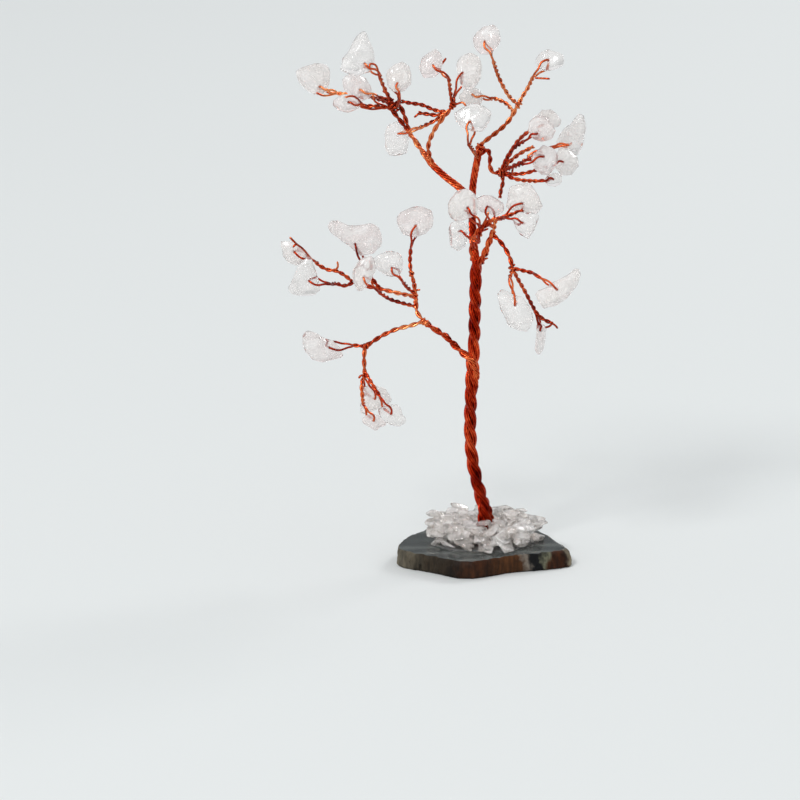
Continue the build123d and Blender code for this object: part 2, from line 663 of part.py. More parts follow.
def main():
    os.makedirs("parts", exist_ok=True)
    save("agate_slice", make_slab())
    save("glue_bed", make_glue())
    lower, upper = make_heap()
    save("heap_lower_chips", lower)
    save("heap_upper_chips", upper)
    save("root_wires", [make_root(spots) for spots in ROOT_ROUTES_PX])

    routes, radii, groups = {}, {}, {}
    save_trunk(routes, radii)
    boughs = [(name, name, limb, spots) for name, (limb, spots) in BOUGH_ROUTES_PX.items()]
    limbs = [(node, name, limb, spots) for name, (node, limb, spots) in LIMB_ROUTES_PX.items()]
    for table, strands, strand_radius, pitch in (
        (boughs, BOUGH_STRAND_COUNT, BOUGH_STRAND_RADIUS, BOUGH_PITCH),
        (limbs, LIMB_STRAND_COUNT, LIMB_STRAND_RADIUS, LIMB_PITCH),
    ):
        for node, name, limb, spots in table:
            radii[name] = rope_radius(strands, strand_radius)
            points = [place(spot) for spot in spots]
            routes[name] = seated_route(points, routes[limb], radii[limb], radii[name])
            groups.setdefault(node, []).extend(rope(routes[name], strands, strand_radius, pitch))

    for number, ((node, limb, spots), stone) in enumerate(zip(TWIG_ROUTES_PX, STONE_OUTLINES_PX), 1):
        hairpin, chip = make_twig(spots, routes[limb], radii[limb], number, *stone)
        groups.setdefault(node, []).append(hairpin)
        save(f"stone_{number:02d}", chip)
    for node, wires in groups.items():
        save(node, wires)


main()
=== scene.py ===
import json
import math
import random

import bmesh
import bpy
import numpy as np
from mathutils import Matrix, Vector, kdtree, noise


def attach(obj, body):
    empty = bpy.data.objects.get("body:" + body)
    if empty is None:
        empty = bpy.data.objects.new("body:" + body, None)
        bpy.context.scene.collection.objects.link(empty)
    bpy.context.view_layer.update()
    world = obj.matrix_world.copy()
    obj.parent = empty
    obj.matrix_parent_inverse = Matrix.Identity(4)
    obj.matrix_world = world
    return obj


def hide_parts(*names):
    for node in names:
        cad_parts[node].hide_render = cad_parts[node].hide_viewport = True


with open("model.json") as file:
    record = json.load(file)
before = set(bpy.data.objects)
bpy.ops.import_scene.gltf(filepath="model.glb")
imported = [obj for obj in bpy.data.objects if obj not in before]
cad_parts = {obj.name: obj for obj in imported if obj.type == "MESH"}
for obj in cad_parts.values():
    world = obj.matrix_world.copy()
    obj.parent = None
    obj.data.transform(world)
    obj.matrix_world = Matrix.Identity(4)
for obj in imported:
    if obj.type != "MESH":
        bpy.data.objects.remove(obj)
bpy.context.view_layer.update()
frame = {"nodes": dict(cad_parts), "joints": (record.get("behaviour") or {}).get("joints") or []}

# Lengths below are in millimetres, and become metres when a mesh is made
MM = 0.001

# Reference view: routes are column, row and depth in its pixels
PIXEL_SIZE = 0.25
FOOT_COLUMN_PX = 484
FOOT_ROW_PX = 540
VIEW_TILT = math.radians(15)
DEPTH_STRETCH = 1.5
FRAME_PX = 800
SLAB_THICKNESS = 4.6

# Wire
WIRE_RADIUS = 0.27
LIMB_WIRE_RADIUS = 0.31
CABLE_WIRE_RADIUS = 0.3
BUNDLE_WIRE_RADIUS = 0.24
TRUNK_WIRE_RADIUS = 0.28
WIRE_SIDES = 8
WIRE_SPACING = 0.28
SPAN_SAMPLES = 14
TIP_SHARE = 0.6
TWIG_RING = 0.28
TWIG_PITCH = 3.6
LIMB_RING = 0.3
LIMB_PITCH = 5.0
BOUGH_RING = 0.5
BOUGH_PITCH = 6.6
BOUGH_BUNDLE_RING = 0.3
BUNDLE_PITCH = 9.0
BOUGH_SHARES = (0.6, 1.0, 0.7)
BOUGH_SHARE_SPOTS = (0.0, 0.4, 1.0)
BOUGH_CORE_SHARE = 0.6
TRUNK_PITCH = 13.5
TRUNK_BUNDLE_PITCH = 60.0
TRUNK_BUNDLE_WIRES = 6
TRUNK_CLOSE = 5.0
CABLE_PITCH = 9.0
CABLE_WIRES = 6
TRUNK_CORE_SHARE = 0.5
BUNDLE_CORE_SHARE = 0.8
TWIST_WOBBLE = 0.16
TWIST_WOBBLE_LENGTH = 3.6
TWIST_PHASES = (0, 6)
LIMB_WIRES = 2
TWIG_WIRES = 2
BOUGH_STRANDS = 2
BOUGH_STRAND_WIRES = 3
CORNER_CUT = 0.25
KNOT_BULGE = 0.12
KNOT_SPACING = WIRE_SPACING / 4
SIDE_HINT = np.array([0.3, 1.0, 0.2])

# Hairpin that carries a stone
CROTCH_LENGTH = 1.4
SHOULDER_LENGTH = 1.9
SHOULDER_TURNS = np.radians([18, 36, 54, 72, 90])
STONE_SWING_GAP = 0.25
LEG_GAP = 0.2
LEG_BOW = 0.8
TIP_ROOM = 1.2
BACK_COSINE = 0.5

# Threaded stones
STONE_VOXEL = 0.2
STONE_SMOOTH_ROUNDS = 2
STONE_DENT = 0.3
STONE_DENT_LENGTH = 2.6
STONE_CHIP = 0.03
STONE_CHIP_LENGTH = 1.8
STONE_BEND = 1.16
STONE_FACETS = 16
STONE_FACET_DEPTHS = (0.12, 0.42)
STONE_FACE_SPARED = 0.6
STONE_NOISE_STEPS = (7.3, 3.1, 1.7)
WEAR = 0.5
WELD_GAP = 1e-6

# Slice
SLAB_VOXEL = 0.35
RIM_ROUGH = 0.55
RIM_ROUGH_LENGTH = 2.2
RIM_ROUGH_SQUASH = 0.5
RIM_FRACTAL = (0.8, 2.0, 4)
RIM_NORMAL = 0.5
EDGE_ROUNDS = (0.5, 2.8)
EDGE_ROUND_SPAN = (10.0, 19.0)

# Heap of chips round the foot
HEAP_WIDTH = 31.5
HEAP_DEPTH = 28.0
# Humps of the heap: middle across and back, half width, half depth, height
HEAP_HUMPS = [(-4.5, 0.5, 11.5, 13.0, 8.6), (5.5, 0.0, 11.0, 13.5, 7.6)]
HEAP_EDGE = 2.0
HEAP_SHIFT = 0.5
HEAP_CHIPS = 180
HEAP_TRIES = 40
HEAP_CHIP_LENGTHS = (3.6, 6.4)
HEAP_CHIP_WIDTH_SHARES = (0.55, 0.85)
HEAP_CHIP_HEIGHT_SHARES = (0.3, 0.44)
HEAP_CHIP_CORNERS = 16
HEAP_CHIP_FLATNESS = 0.35
HEAP_CHIP_BEVEL_SHARE = 0.09
HEAP_TILT = 0.18
HEAP_HUMP_POWER = 0.62
HEAP_GROUND_SHARE = 1.4
HEAP_CELL = 0.25
HEAP_SINK = 0.3
HEAP_VOXEL = 0.16
HEAP_SMOOTH_ROUNDS = 1
HEAP_TRUNK_ROOM = 1.3
HEAP_BEND = 1.36
FOOT_MIDDLE = (1.0, 0.0)
GLUE_HEIGHT = 0.5
GLUE_SHARE = 0.86
GLUE_RINGS = 10
GLUE_SIDES = 72
# Waves of the glue's edge: share of its radius, waves around, phase
GLUE_WAVES = [(0.05, 5, 1), (0.03, 11, 0)]
GLUE_RIPPLE = 0.12
GLUE_RIPPLE_LENGTH = 2.5

# Camera and floor
CAMERA_DISTANCE = 1.2
SENSOR = 36.0
CLIP_END = 20.0
FLOOR_HALF = 4.0

# Sky: its strength as a lamp, looked at, and in a mirror that faces away from the key lamp or towards it
SKY_COLOUR = (0.96, 0.98, 1.0, 1)
SKY_LIGHT = 0.55
SKY_SEEN = 0.85
SKY_MIRRORED = (0.26, 1.35)
SKY_TURN = (-0.25, 0.95)
KEY_SPOT = (-1.1, -1.5, 1.9)
# Lamps, in metres: name, spot, height aimed at, size, power
LAMPS = [("key", KEY_SPOT, 0.07, 0.7, 30), ("rim_light", (1.2, 1.1, 1.2), 0.08, 0.7, 10)]

# Colours of copper: darkened, plain and bright, in patches at random. The rows are painted light and shade:
# the trunk's is darkest, as painted shade in its thick bundles, and the pale one is lightest, as painted
# light on thin wires lit from all round
COPPERS = {
    "trunk": ((0.12, 0.002, 0.001), (0.36, 0.019, 0.004), (0.80, 0.12, 0.032)),
    "deep": ((0.16, 0.006, 0.002), (0.44, 0.034, 0.008), (0.86, 0.20, 0.060)),
    "plain": ((0.19, 0.009, 0.003), (0.50, 0.065, 0.019), (0.92, 0.34, 0.13)),
    "pale": ((0.28, 0.022, 0.006), (0.56, 0.11, 0.032), (0.90, 0.36, 0.15)),
}
COPPER_PATCH_SCALE = 70
COPPER_GRAIN_SCALE = 2600
COPPER_GRAIN_DEPTH = 0.04

# Quartz: name, tint, clearness, shift of its veils
QUARTZES = [
    ("quartz_clear", (0.97, 0.935, 0.92), 0.94, 0.0),
    ("quartz_rose", (0.96, 0.865, 0.85), 0.86, 1.3),
    ("quartz_milky", (0.97, 0.92, 0.89), 0.78, 2.9),
]
HEAP_QUARTZ = ("heap_quartz", (1.0, 0.95, 0.90), 0.79, 5.1)
VEIL_COLOUR = (0.97, 0.945, 0.93)
VEIL_SCALE = 230
VEIL_STEPS = (1.0, 0.7, 0.3)
QUARTZ_GRAIN_SCALE = 700
QUARTZ_GRAIN_DEPTH = 0.1

# Agate: bands of its rim from left to right, as share of the way and colour, and bands of its face
RIM_BANDS = [
    (0.0, (0.12, 0.11, 0.085)), (0.16, (0.035, 0.027, 0.018)), (0.34, (0.012, 0.007, 0.004)),
    (0.44, (0.050, 0.017, 0.006)), (0.53, (0.022, 0.008, 0.003)), (0.62, (0.065, 0.025, 0.008)),
    (0.70, (0.045, 0.018, 0.006)), (0.735, (0.17, 0.15, 0.13)), (0.765, (0.004, 0.004, 0.005)),
    (0.825, (0.004, 0.004, 0.005)), (0.85, (0.13, 0.135, 0.095)), (0.88, (0.060, 0.019, 0.005)),
    (0.96, (0.030, 0.009, 0.003)), (0.99, (0.17, 0.15, 0.11)),
]
RIM_SPAN = (-18.5, 25.5)
RIM_WANDER = 7.0
RIM_WANDER_SCALE = 330
STREAK_SCALE = 900
STREAK_STRETCH = (1.0, 1.0, 0.16)
STREAK_SHADES = [(0.3, (0.12, 0.12, 0.12)), (0.7, (0.85, 0.8, 0.74))]
STREAK_DEPTH = 0.2
FACE_BANDS = [
    (0.0, (0.036, 0.044, 0.043)), (0.55, (0.062, 0.073, 0.071)), (0.9, (0.095, 0.106, 0.100)),
]
FACE_BAND_SCALE = 60
# Share of upright in a normal at which the rim passes into the face
FACE_NORMALS = (0.8, 0.95)

# Seeds
TRUNK_SEED = 3
BOUGH_SEED = 5
HEAP_SEED = 19

# Trunk from foot to crown
TRUNK_ROUTE_PX = [
    (488, 538, 0), (486, 516, 0), (479, 488, 0), (473, 462, 0), (470.5, 437, 0), (470.5, 412, 0),
    (471.5, 382, 0), (473, 359, 0), (474, 335, 0), (474.5, 310, 0), (475, 285, 0), (475.5, 263, 0),
    (473, 245, 2), (471.5, 215, 4), (472, 190, 4), (475, 170, 3), (479, 150, 0),
]
# Rows of the trunk: radius of the circle its bundles lie on, and of the circle each bundle's wires lie on
TRUNK_ROW_RINGS = [
    (540, 0.92, 0.5), (384, 0.88, 0.49), (366, 1.12, 0.5), (348, 0.86, 0.46), (250, 0.86, 0.47),
]
TRUNK_BUNDLES = 3
# Row at which the bundles end, and the cable above them: its rows and ring radii
BUNDLE_TOP_ROW_PX = 254
CABLE_ROW_RINGS = [(285, 0.75), (250, 0.75), (200, 0.64), (150, 0.6)]

ROOT_ROUTES_PX = [
    [(481, 498, -3), (480.5, 511, -4.5), (480, 524, -5.5), (479, 537, -6)],
    [(486, 498, 2), (490.5, 510, 3), (493, 522, 4), (494, 537, 5)],
]

# Boughs of two bundles: the node they are in, their thickness, and the route
BOUGH_ROUTES_PX = [
    ("lower_left_bough", 1.0, [
        (473, 398, 0), (475, 388, -1), (476.5, 378, -3), (475, 368, -5), (469, 359, -5.5), (458, 349, -3),
        (446, 337, -4), (435, 330, -6), (424, 322, -8),
    ]),
    ("lower_right_bough", 1.0, [
        (476, 285, 0), (478, 268, -2), (483, 258, -7), (487, 247, -10), (490, 239, -12), (492, 233, -14),
    ]),
    ("middle_limb", 1.0, [(472, 262, 1), (471.5, 250, -1), (476, 237, -9), (485, 227, -16), (494, 222, -20)]),
    ("crown_limbs", 0.75, [(437, 172, 9), (430, 164, 10), (424, 156, 11), (416, 145, 12), (408, 134, 12.5)]),
]

# Bough that is one cable
CABLE_BOUGH_PX = [(472, 218, 4), (470, 202, 4), (459, 190, 6), (445, 179, 8), (432, 167, 10), (426, 158, 11)]
CABLE_BOUGH_RINGS = (0.68, 0.55)

# Limbs of two strands: the node they are in, and the route
LIMB_ROUTES_PX = [
    ("lower_left_limbs", [
        (428, 325, -7), (424, 322, -8), (411, 326, -11), (396, 330, -14), (381, 337, -17),
        (366, 347, -20),
    ]),
    ("lower_left_limbs", [
        (428, 325, -7), (424, 322, -8), (417, 313, -6), (416, 304, -4), (415, 294, -2), (414, 284, 0),
    ]),
    ("lower_left_limbs", [
        (415, 304, -4), (415, 298, -2), (400, 294, 10), (380, 289, 16), (362, 285, 18), (353, 282, 18),
    ]),
    ("lower_left_limbs", [(370, 344, -19), (366, 347, -20), (364.5, 357, -21), (365, 374, -22)]),
    ("lower_right_bough", [
        (488, 246, -10), (491, 238, -12), (496, 241, -13.5), (502, 248, -16), (508, 259, -18.5),
        (511, 270, -20),
    ]),
    ("right_bough", [
        (475, 172, 2), (479, 159, 1), (486, 153, 2), (489, 160, 4), (489, 169, 6), (493, 175, 8),
        (500, 174, 9),
    ]),
    ("crown_limbs", [(411, 138, 12), (402, 126, 13), (394, 116, 14), (387, 109, 14)]),
    ("crown_limbs", [(410, 137, 12), (406, 124, 13), (402, 113, 14), (397, 104, 14)]),
    ("crown_limbs", [
        (437, 172, 9), (432, 165, 9), (428, 150, 3), (434, 134, -1), (443, 122, -3), (452, 111, -5),
    ]),
    ("top_limb", [
        (478, 157, 0), (479, 150, 0), (484, 145, -2), (496, 136, -5), (504, 129, -7), (510, 121, -8),
        (516, 110, -10),
    ]),
]

# Twigs: node, route towards the stone, and the stone's bore
TWIG_ROUTES_PX = [
    ("left_twigs", [(366, 347, -20), (358, 345, -23), (347, 347, -25)], (328, 347, -27)),
    ("left_twigs", [(365, 374, -22), (367, 379, -14), (369, 384, -8)], (373, 398, -1)),
    ("left_twigs", [(365, 372, -22), (371, 382, -27), (378, 393, -33)], (390, 413, -31)),
    ("left_twigs", [(365, 374, -22), (362, 385, -25), (363, 398, -25), (366, 407, -22)], (373, 420, -17)),
    ("left_twigs", [
        (353, 282, 18), (344, 275, 17), (336, 271, 16), (328, 270, 15), (320, 266, 14), (312, 260, 12),
    ], (294, 252, 9)),
    ("left_twigs", [(354, 282.5, 18), (344, 286, 12), (337, 284, 9), (330, 283, 7)], (309, 281, -2)),
    ("left_twigs", [(380, 289, 16), (372, 276, 17), (364, 264, 17)], (355, 244, 16)),
    ("left_twigs", [(416, 307, -4), (403, 304, -10), (390, 300, -15), (381, 294, -18)], (364, 279, -25)),
    ("left_twigs", [(415, 294, -2), (408, 289, -8), (403, 282, -11)], (392, 269, -15)),
    ("left_twigs", [(414, 284, 0), (411, 273, 2), (410, 262, 3), (411, 249, 4)], (416, 227, 5)),
    ("lower_right_twigs", [
        (511, 270, -20), (519, 272, -23), (527, 274, -25), (534, 277, -27),
    ], (555, 291, -31)),
    ("lower_right_twigs", [(511, 270, -20), (509, 279, -26), (510, 287, -30)], (514, 307, -35)),
    ("lower_right_twigs", [
        (511, 270, -20), (517, 281, -15), (523, 291, -12), (529, 302, -10), (535, 315, -9),
    ], (540, 331, -8)),
    ("middle_twigs", [(494, 222, -20), (501, 219, -20), (507, 217, -20)], (521, 207, -20)),
    ("middle_twigs", [(494, 222, -20), (500, 222, -27), (506, 222, -32)], (521, 227, -38)),
    ("middle_twigs", [(486, 226, -16), (488, 222, -10), (489, 219, -7)], (488, 209, -3)),
    ("middle_twigs", [(480, 231, -11), (476, 228, -17), (472, 224, -20)], (464, 212, -24)),
    ("middle_twigs", [(477, 237, -9), (474, 245, -20), (470, 246, -28)], (458, 235, -40)),
    ("crown_twigs", [(394, 109, 14), (385, 111, 11), (375, 110, 9), (366, 110, 8)], (349, 107, 5)),
    ("crown_twigs", [
        (394, 109, 14), (384, 104, 24), (370, 99, 33), (352, 96, 37), (336, 94, 38),
    ], (319, 89, 38)),
    ("crown_twigs", [(394, 109, 14), (388, 99, 9), (383, 89, 5), (377, 81, 2)], (364, 71, -3)),
    ("crown_twigs", [(394, 109, 14), (387, 103, 16), (379, 100, 18)], (360, 94, 20)),
    ("crown_twigs", [(397, 112, 14), (398, 107, 10), (398, 102, 8)], (397, 89, 5)),
    ("crown_twigs", [(442, 121, -3), (431, 127, -6), (421, 132, -9), (412, 136, -12)], (398, 140, -16)),
    ("crown_twigs", [(452, 111, -5), (450, 101, -9), (446, 91, -12), (442, 83, -14)], (432, 74, -17)),
    ("crown_twigs", [(452, 111, -5), (454, 102, -1), (456, 94, 2)], (462, 79, 7)),
    ("top_twigs", [(516, 110, -10), (521, 101, -11), (526, 93, -12), (533, 84, -13)], (545, 69, -15)),
    ("top_twigs", [
        (516, 110, -10), (508, 104, -15), (501, 94, -19), (496, 84, -22), (490, 68, -25),
    ], (483, 53, -28)),
    ("top_twigs", [(512, 118, -8.5), (504, 108, 2), (494, 103, 9), (486, 101, 13)], (472, 99, 18)),
    ("top_twigs", [(477, 161, 1), (474, 151, -9), (472, 144, -13)], (470, 129, -18)),
    ("right_twigs", [(500, 174, 9), (505, 162, 4), (511, 153, 0), (517, 148, -3)], (536, 138, -14)),
    ("right_twigs", [(500, 174, 9), (508, 158, 14), (517, 143, 18), (527, 132, 21)], (546, 121, 25)),
    ("right_twigs", [
        (500, 174, 9), (511, 168, 19), (523, 162, 27), (538, 154, 33), (549, 149, 36),
    ], (570, 144, 41)),
    ("right_twigs", [(500, 174, 9), (509, 168, 2), (517, 164, -3), (523, 162, -6)], (539, 160, -12)),
    ("right_twigs", [
        (500, 174, 9), (511, 176, 12), (524, 175, 14), (537, 171, 16), (546, 167, 17),
    ], (560, 163, 20)),
    ("right_twigs", [(500, 174, 9), (510, 180, 5), (522, 183, 2), (533, 183, 0)], (550, 182, -3)),
]

# Bare twigs, of two wires, that carry no stone
BARE_TWIG_ROUTES_PX = [
    [(446, 117, -3.5), (434, 115, -3), (422, 110, -2), (410, 108, 0), (401, 106, 3)],
    [(446, 118, -3.5), (436, 120, -5), (426, 119, -6), (418, 118, -7)],
    [(501, 176, 9), (502, 184, 8), (500, 192, 7), (499, 200, 6)],
    [(533, 311, -9), (541, 319, -10), (549, 323, -11), (552, 324, -12)],
    [(500, 174, 9), (507, 166, 6), (518, 157, 3), (532, 150, 0)],
    [(490, 240, -12), (492.5, 233, -15), (494, 224, -19)],
    [(492, 223, -20), (502, 220, -24), (512, 217, -27), (521, 213.5, -27.5)],
]

# Cut ends and hooks of single wire, each from the wire it leaves
WIRE_END_ROUTES_PX = [
    [(335, 271, 16), (338, 267, 15.5), (337.5, 262, 15)],
    [(313, 261, 12.5), (304, 250.5, 0), (298, 246, -5), (291, 239, -7)],
    [(301, 248, -2.5), (297, 246, -5.5), (294, 249, -6.5)],
    [(412, 292, -1), (416, 291, -2), (420, 290.5, -3)],
    [(366, 379, -23), (362, 375.5, -25), (359, 378.5, -26)],
    [(396, 110, 14), (388, 99, 12), (383, 95, 11)],
    [(395, 110, 14), (399, 101, 12), (394, 95, 11)],
    [(387, 110, 12), (376, 106, 9), (373, 99, 8)],
    [(387, 111, 12), (373, 113, 9), (361, 111, 8)],
    [(380, 85, 4), (377, 73, -5), (371, 71, -8), (370, 76, -9)],
    [(338, 95, 38), (330, 94, 34), (327, 91, 31)],
    [(337, 95, 38), (325, 97.5, 34), (317, 95, 31)],
    [(364, 109, 8), (355, 102, -4), (346, 103, -8)],
    [(419, 118, -7), (417, 120, -8), (414, 122.5, -8)],
    [(440, 80, -14), (438, 76, -12), (445, 66, -13)],
    [(452, 111, -5), (461, 108, -7), (465, 112, -8)],
    [(532, 85, -13), (540, 85.5, -14), (546.5, 86, -15)],
    [(514, 150, -2), (519, 142, -4), (524.5, 136, -5)],
    [(525, 160, -5), (535, 154.5, -4.8), (540, 158, -6)],
    [(549, 150, 36), (560, 147, 34), (569, 146, 33)],
    [(551, 324, -12), (554, 326, -12), (556.5, 329, -12)],
    [(551, 324, -12), (548, 327, -11.5), (544, 328, -11)],
    [(534, 312, -9), (536, 320, -10.5), (537.5, 326, -11.5)],
    [(482, 227, -13), (486, 219, -15), (487, 215, -16)],
    [(472, 243, -4), (478, 235, -10), (487, 231, -13)],
    [(478, 266, -4), (483, 261, -6), (487, 259.5, -7)],
    [(511, 176, 10), (511.5, 172, 9), (513, 167, 8)],
]

# Copper painted paler than the rest, as painted light on thin wires lit from all round; palest on the top
# limb and twigs
NODE_COPPERS = {
    "crown_limbs": "plain", "crown_twigs": "plain", "lower_left_limbs": "plain",
    "top_limb": "pale", "top_twigs": "pale",
}

# Turns of wire wound over a fork: where, towards where, ring radius, turns
KNOT_SPOTS_PX = [
    ((428, 325, -7), (421, 320, -8), 0.62, 2.2),
    ((369, 346, -19.5), (363, 347.5, -20.5), 0.5, 1.6),
    ((415, 301, -3), (415, 294, -2), 0.5, 1.8),
    ((412, 278, 0), (411, 272, 2), 0.42, 1.5),
    ((451, 113, -4.5), (453, 107, -5.5), 0.6, 2.4),
    ((398, 114, 14), (389, 104, 14), 0.9, 3.6),
    ((497, 175, 8.5), (504, 173, 9.5), 0.9, 2.8),
    ((510, 267, -19.5), (512, 275, -20.5), 0.7, 2.0),
    ((478, 155, 0.5), (480, 148, -0.5), 0.85, 1.8),
    ((515, 113, -9.5), (518, 107, -10.5), 0.5, 1.6),
    ((428, 161, 10.5), (423, 154, 11.5), 0.6, 1.6),
    ((475, 243, -2), (479, 233, -10), 0.65, 1.6),
]


def place(spot):
    """A spot of the reference view as a point of the tree."""
    column, row, depth = spot
    back = depth * DEPTH_STRETCH * PIXEL_SIZE
    rise = (FOOT_ROW_PX - row) * PIXEL_SIZE
    height = SLAB_THICKNESS + (rise - back * math.sin(VIEW_TILT)) / math.cos(VIEW_TILT)
    return np.array([(column - FOOT_COLUMN_PX) * PIXEL_SIZE, back, height])


def unit(way):
    return way / np.linalg.norm(way)


def run_along(line):
    """Length run from the line's start to each of its points."""
    return np.concatenate([[0], np.cumsum(np.linalg.norm(np.diff(line, axis=0), axis=1))])


def even(line, spacing):
    run = run_along(line)
    at = np.linspace(0, run[-1], max(2, round(run[-1] / spacing)) + 1)
    return np.stack([np.interp(at, run, line[:, axis]) for axis in range(3)], 1)


def smooth_route(points, spacing=WIRE_SPACING):
    """Even samples of a smooth curve through the points."""
    ends = [2 * points[0] - points[1], *points, 2 * points[-1] - points[-2]]
    fine = [points[0]]
    for a, b, c, d in zip(ends, ends[1:], ends[2:], ends[3:]):
        for t in np.linspace(0, 1, SPAN_SAMPLES + 1)[1:]:
            bow = (2 * a - 5 * b + 4 * c - d) * t**2 + (3 * b - a - 3 * c + d) * t**3
            fine.append((2 * b + (c - a) * t + bow) / 2)
    return even(np.array(fine), spacing)


def route_of(spots):
    return smooth_route([place(spot) for spot in spots])


def eased(line, rounds=2):
    """The line with its corners cut."""
    for _ in range(rounds):
        near = line[:-1] * (1 - CORNER_CUT) + line[1:] * CORNER_CUT
        far = line[:-1] * CORNER_CUT + line[1:] * (1 - CORNER_CUT)
        inner = np.stack([near, far], 1).reshape(-1, 3)
        line = np.concatenate([line[:1], inner, line[-1:]])
    return line


def axes(line):
    """Direction of a line at each point, and a steady pair of cross axes."""
    way = np.gradient(line, axis=0)
    way /= np.linalg.norm(way, axis=1, keepdims=True)
    side = np.empty_like(way)
    last = np.cross(way[0], SIDE_HINT)
    for index, along in enumerate(way):
        last = unit(last - along * np.dot(last, along))
        side[index] = last
    return way, side, np.cross(way, side)


def laid(line, ring, pitch, angle, dice=None):
    """A strand laid left-handed about a line, at the given angle where the line ends."""
    _, side, up = axes(line)
    run = run_along(line)
    turn = angle + 2 * math.pi * (run[-1] - run) / pitch
    if dice:
        phase = dice.uniform(*TWIST_PHASES)
        turn = turn + TWIST_WOBBLE * np.sin((run[-1] - run) / TWIST_WOBBLE_LENGTH + phase)
    out = side * np.cos(turn)[:, None] + up * np.sin(turn)[:, None]
    return line + out * np.broadcast_to(ring, run.shape)[:, None]


def tube(line, radius):
    """Round wire along a line, with softly rounded ends, as corners and faces."""
    way, side, up = axes(line)
    radii = np.broadcast_to(radius, len(line)).astype(float)
    radii[[0, -1]] *= TIP_SHARE
    turn = np.arange(WIRE_SIDES) * 2 * math.pi / WIRE_SIDES
    out = side[:, None] * np.cos(turn)[None, :, None] + up[:, None] * np.sin(turn)[None, :, None]
    corners = (line[:, None] + out * radii[:, None, None]).reshape(-1, 3)
    faces = []
    for ring in range(len(line) - 1):
        low = ring * WIRE_SIDES
        for flat in range(WIRE_SIDES):
            after = (flat + 1) % WIRE_SIDES
            faces.append((low + flat, low + after, low + WIRE_SIDES + after, low + WIRE_SIDES + flat))
    last = (len(line) - 1) * WIRE_SIDES
    faces.append(tuple(reversed(range(WIRE_SIDES))))
    faces.append(tuple(range(last, last + WIRE_SIDES)))
    return corners, faces


def bundle(line, wires, ring, pitch, radius, angle=0):
    """Wires laid together about a line."""
    turns = [angle + 2 * math.pi * wire / wires for wire in range(wires)]
    return [tube(laid(line, ring, pitch, turn), radius) for turn in turns]


def new_object(name, mesh, material):
    made = bpy.data.objects.new(name, mesh)
    bpy.context.scene.collection.objects.link(made)
    made.data.materials.clear()
    made.data.materials.append(material)
    return made


def mesh_of(name, shapes):
    """One smooth-shaded mesh of several sets of corners and faces."""
    corners, faces, start = [], [], 0
    for spots, corner_sets in shapes:
        corners.append(np.asarray(spots) * MM)
        faces += [[corner + start for corner in face] for face in corner_sets]
        start += len(spots)
    mesh = bpy.data.meshes.new(name)
    mesh.from_pydata(np.concatenate(corners).tolist(), [], faces)
    mesh.polygons.foreach_set("use_smooth", [True] * len(mesh.polygons))
    mesh.update()
    return mesh


def add_piece(name, shapes, material, slot, *nodes):
    """One fixed piece of the tree, standing for the nodes named."""
    piece = new_object(name, mesh_of(name, shapes), material)
    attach(piece, "tree")
    if nodes:
        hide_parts(*nodes)
    return piece


def shader(name):
    material = bpy.data.materials.new(name)
    material.use_nodes = True
    tree = material.node_tree
    return material, tree, tree.nodes["Principled BSDF"]


def add_noise(tree, scale, detail=4, roughness=0.5, distortion=0.0, where=None):
    """Noise in the object's own metres."""
    made = tree.nodes.new("ShaderNodeTexNoise")
    made.inputs["Scale"].default_value = scale
    made.inputs["Detail"].default_value = detail
    made.inputs["Roughness"].default_value = roughness
    made.inputs["Distortion"].default_value = distortion
    if where is None:
        where = tree.nodes.new("ShaderNodeTexCoord").outputs["Object"]
    tree.links.new(where, made.inputs["Vector"])
    return made.outputs["Fac"]


def add_ramp(tree, value, stops):
    made = tree.nodes.new("ShaderNodeValToRGB")
    tree.links.new(value, made.inputs["Fac"])
    elements = made.color_ramp.elements
    while len(elements) < len(stops):
        elements.new(0.5)
    for element, (spot, colour) in zip(elements, stops):
        element.position = spot
        element.color = (*colour, 1)
    return made.outputs["Color"]


def add_range(tree, value, low, high, start=0.3, stop=0.7):
    made = tree.nodes.new("ShaderNodeMapRange")
    tree.links.new(value, made.inputs["Value"])
    made.inputs["From Min"].default_value = start
    made.inputs["From Max"].default_value = stop
    made.inputs["To Min"].default_value = low
    made.inputs["To Max"].default_value = high
    return made.outputs["Result"]


def add_mix(tree, factor, first, second, blend="MIX"):
    made = tree.nodes.new("ShaderNodeMix")
    made.data_type = "RGBA"
    made.blend_type = blend
    if isinstance(factor, float):
        made.inputs["Factor"].default_value = factor
    else:
        tree.links.new(factor, made.inputs["Factor"])
    tree.links.new(first, made.inputs["A"])
    tree.links.new(second, made.inputs["B"])
    return made.outputs["Result"]


def add_bump(tree, surface, height, distance, strength=1.0):
    made = tree.nodes.new("ShaderNodeBump")
    made.inputs["Strength"].default_value = strength
    made.inputs["Distance"].default_value = distance
    tree.links.new(height, made.inputs["Height"])
    tree.links.new(made.outputs["Normal"], surface.inputs["Normal"])


def copper_material(name, dark, middle, bright):
    """Drawn copper: orange where bright, deep red where it has darkened."""
    material, tree, surface = shader(name)
    patches = add_noise(tree, COPPER_PATCH_SCALE, detail=8, roughness=0.78, distortion=0.3)
    colour = add_ramp(tree, patches, [(0.38, dark), (0.5, middle), (0.62, bright)])
    tree.links.new(colour, surface.inputs["Base Color"])
    surface.inputs["Metallic"].default_value = 1.0
    tree.links.new(add_range(tree, patches, 0.26, 0.12), surface.inputs["Roughness"])
    add_bump(tree, surface, add_noise(tree, COPPER_GRAIN_SCALE, detail=2), COPPER_GRAIN_DEPTH * MM, 0.5)
    return material


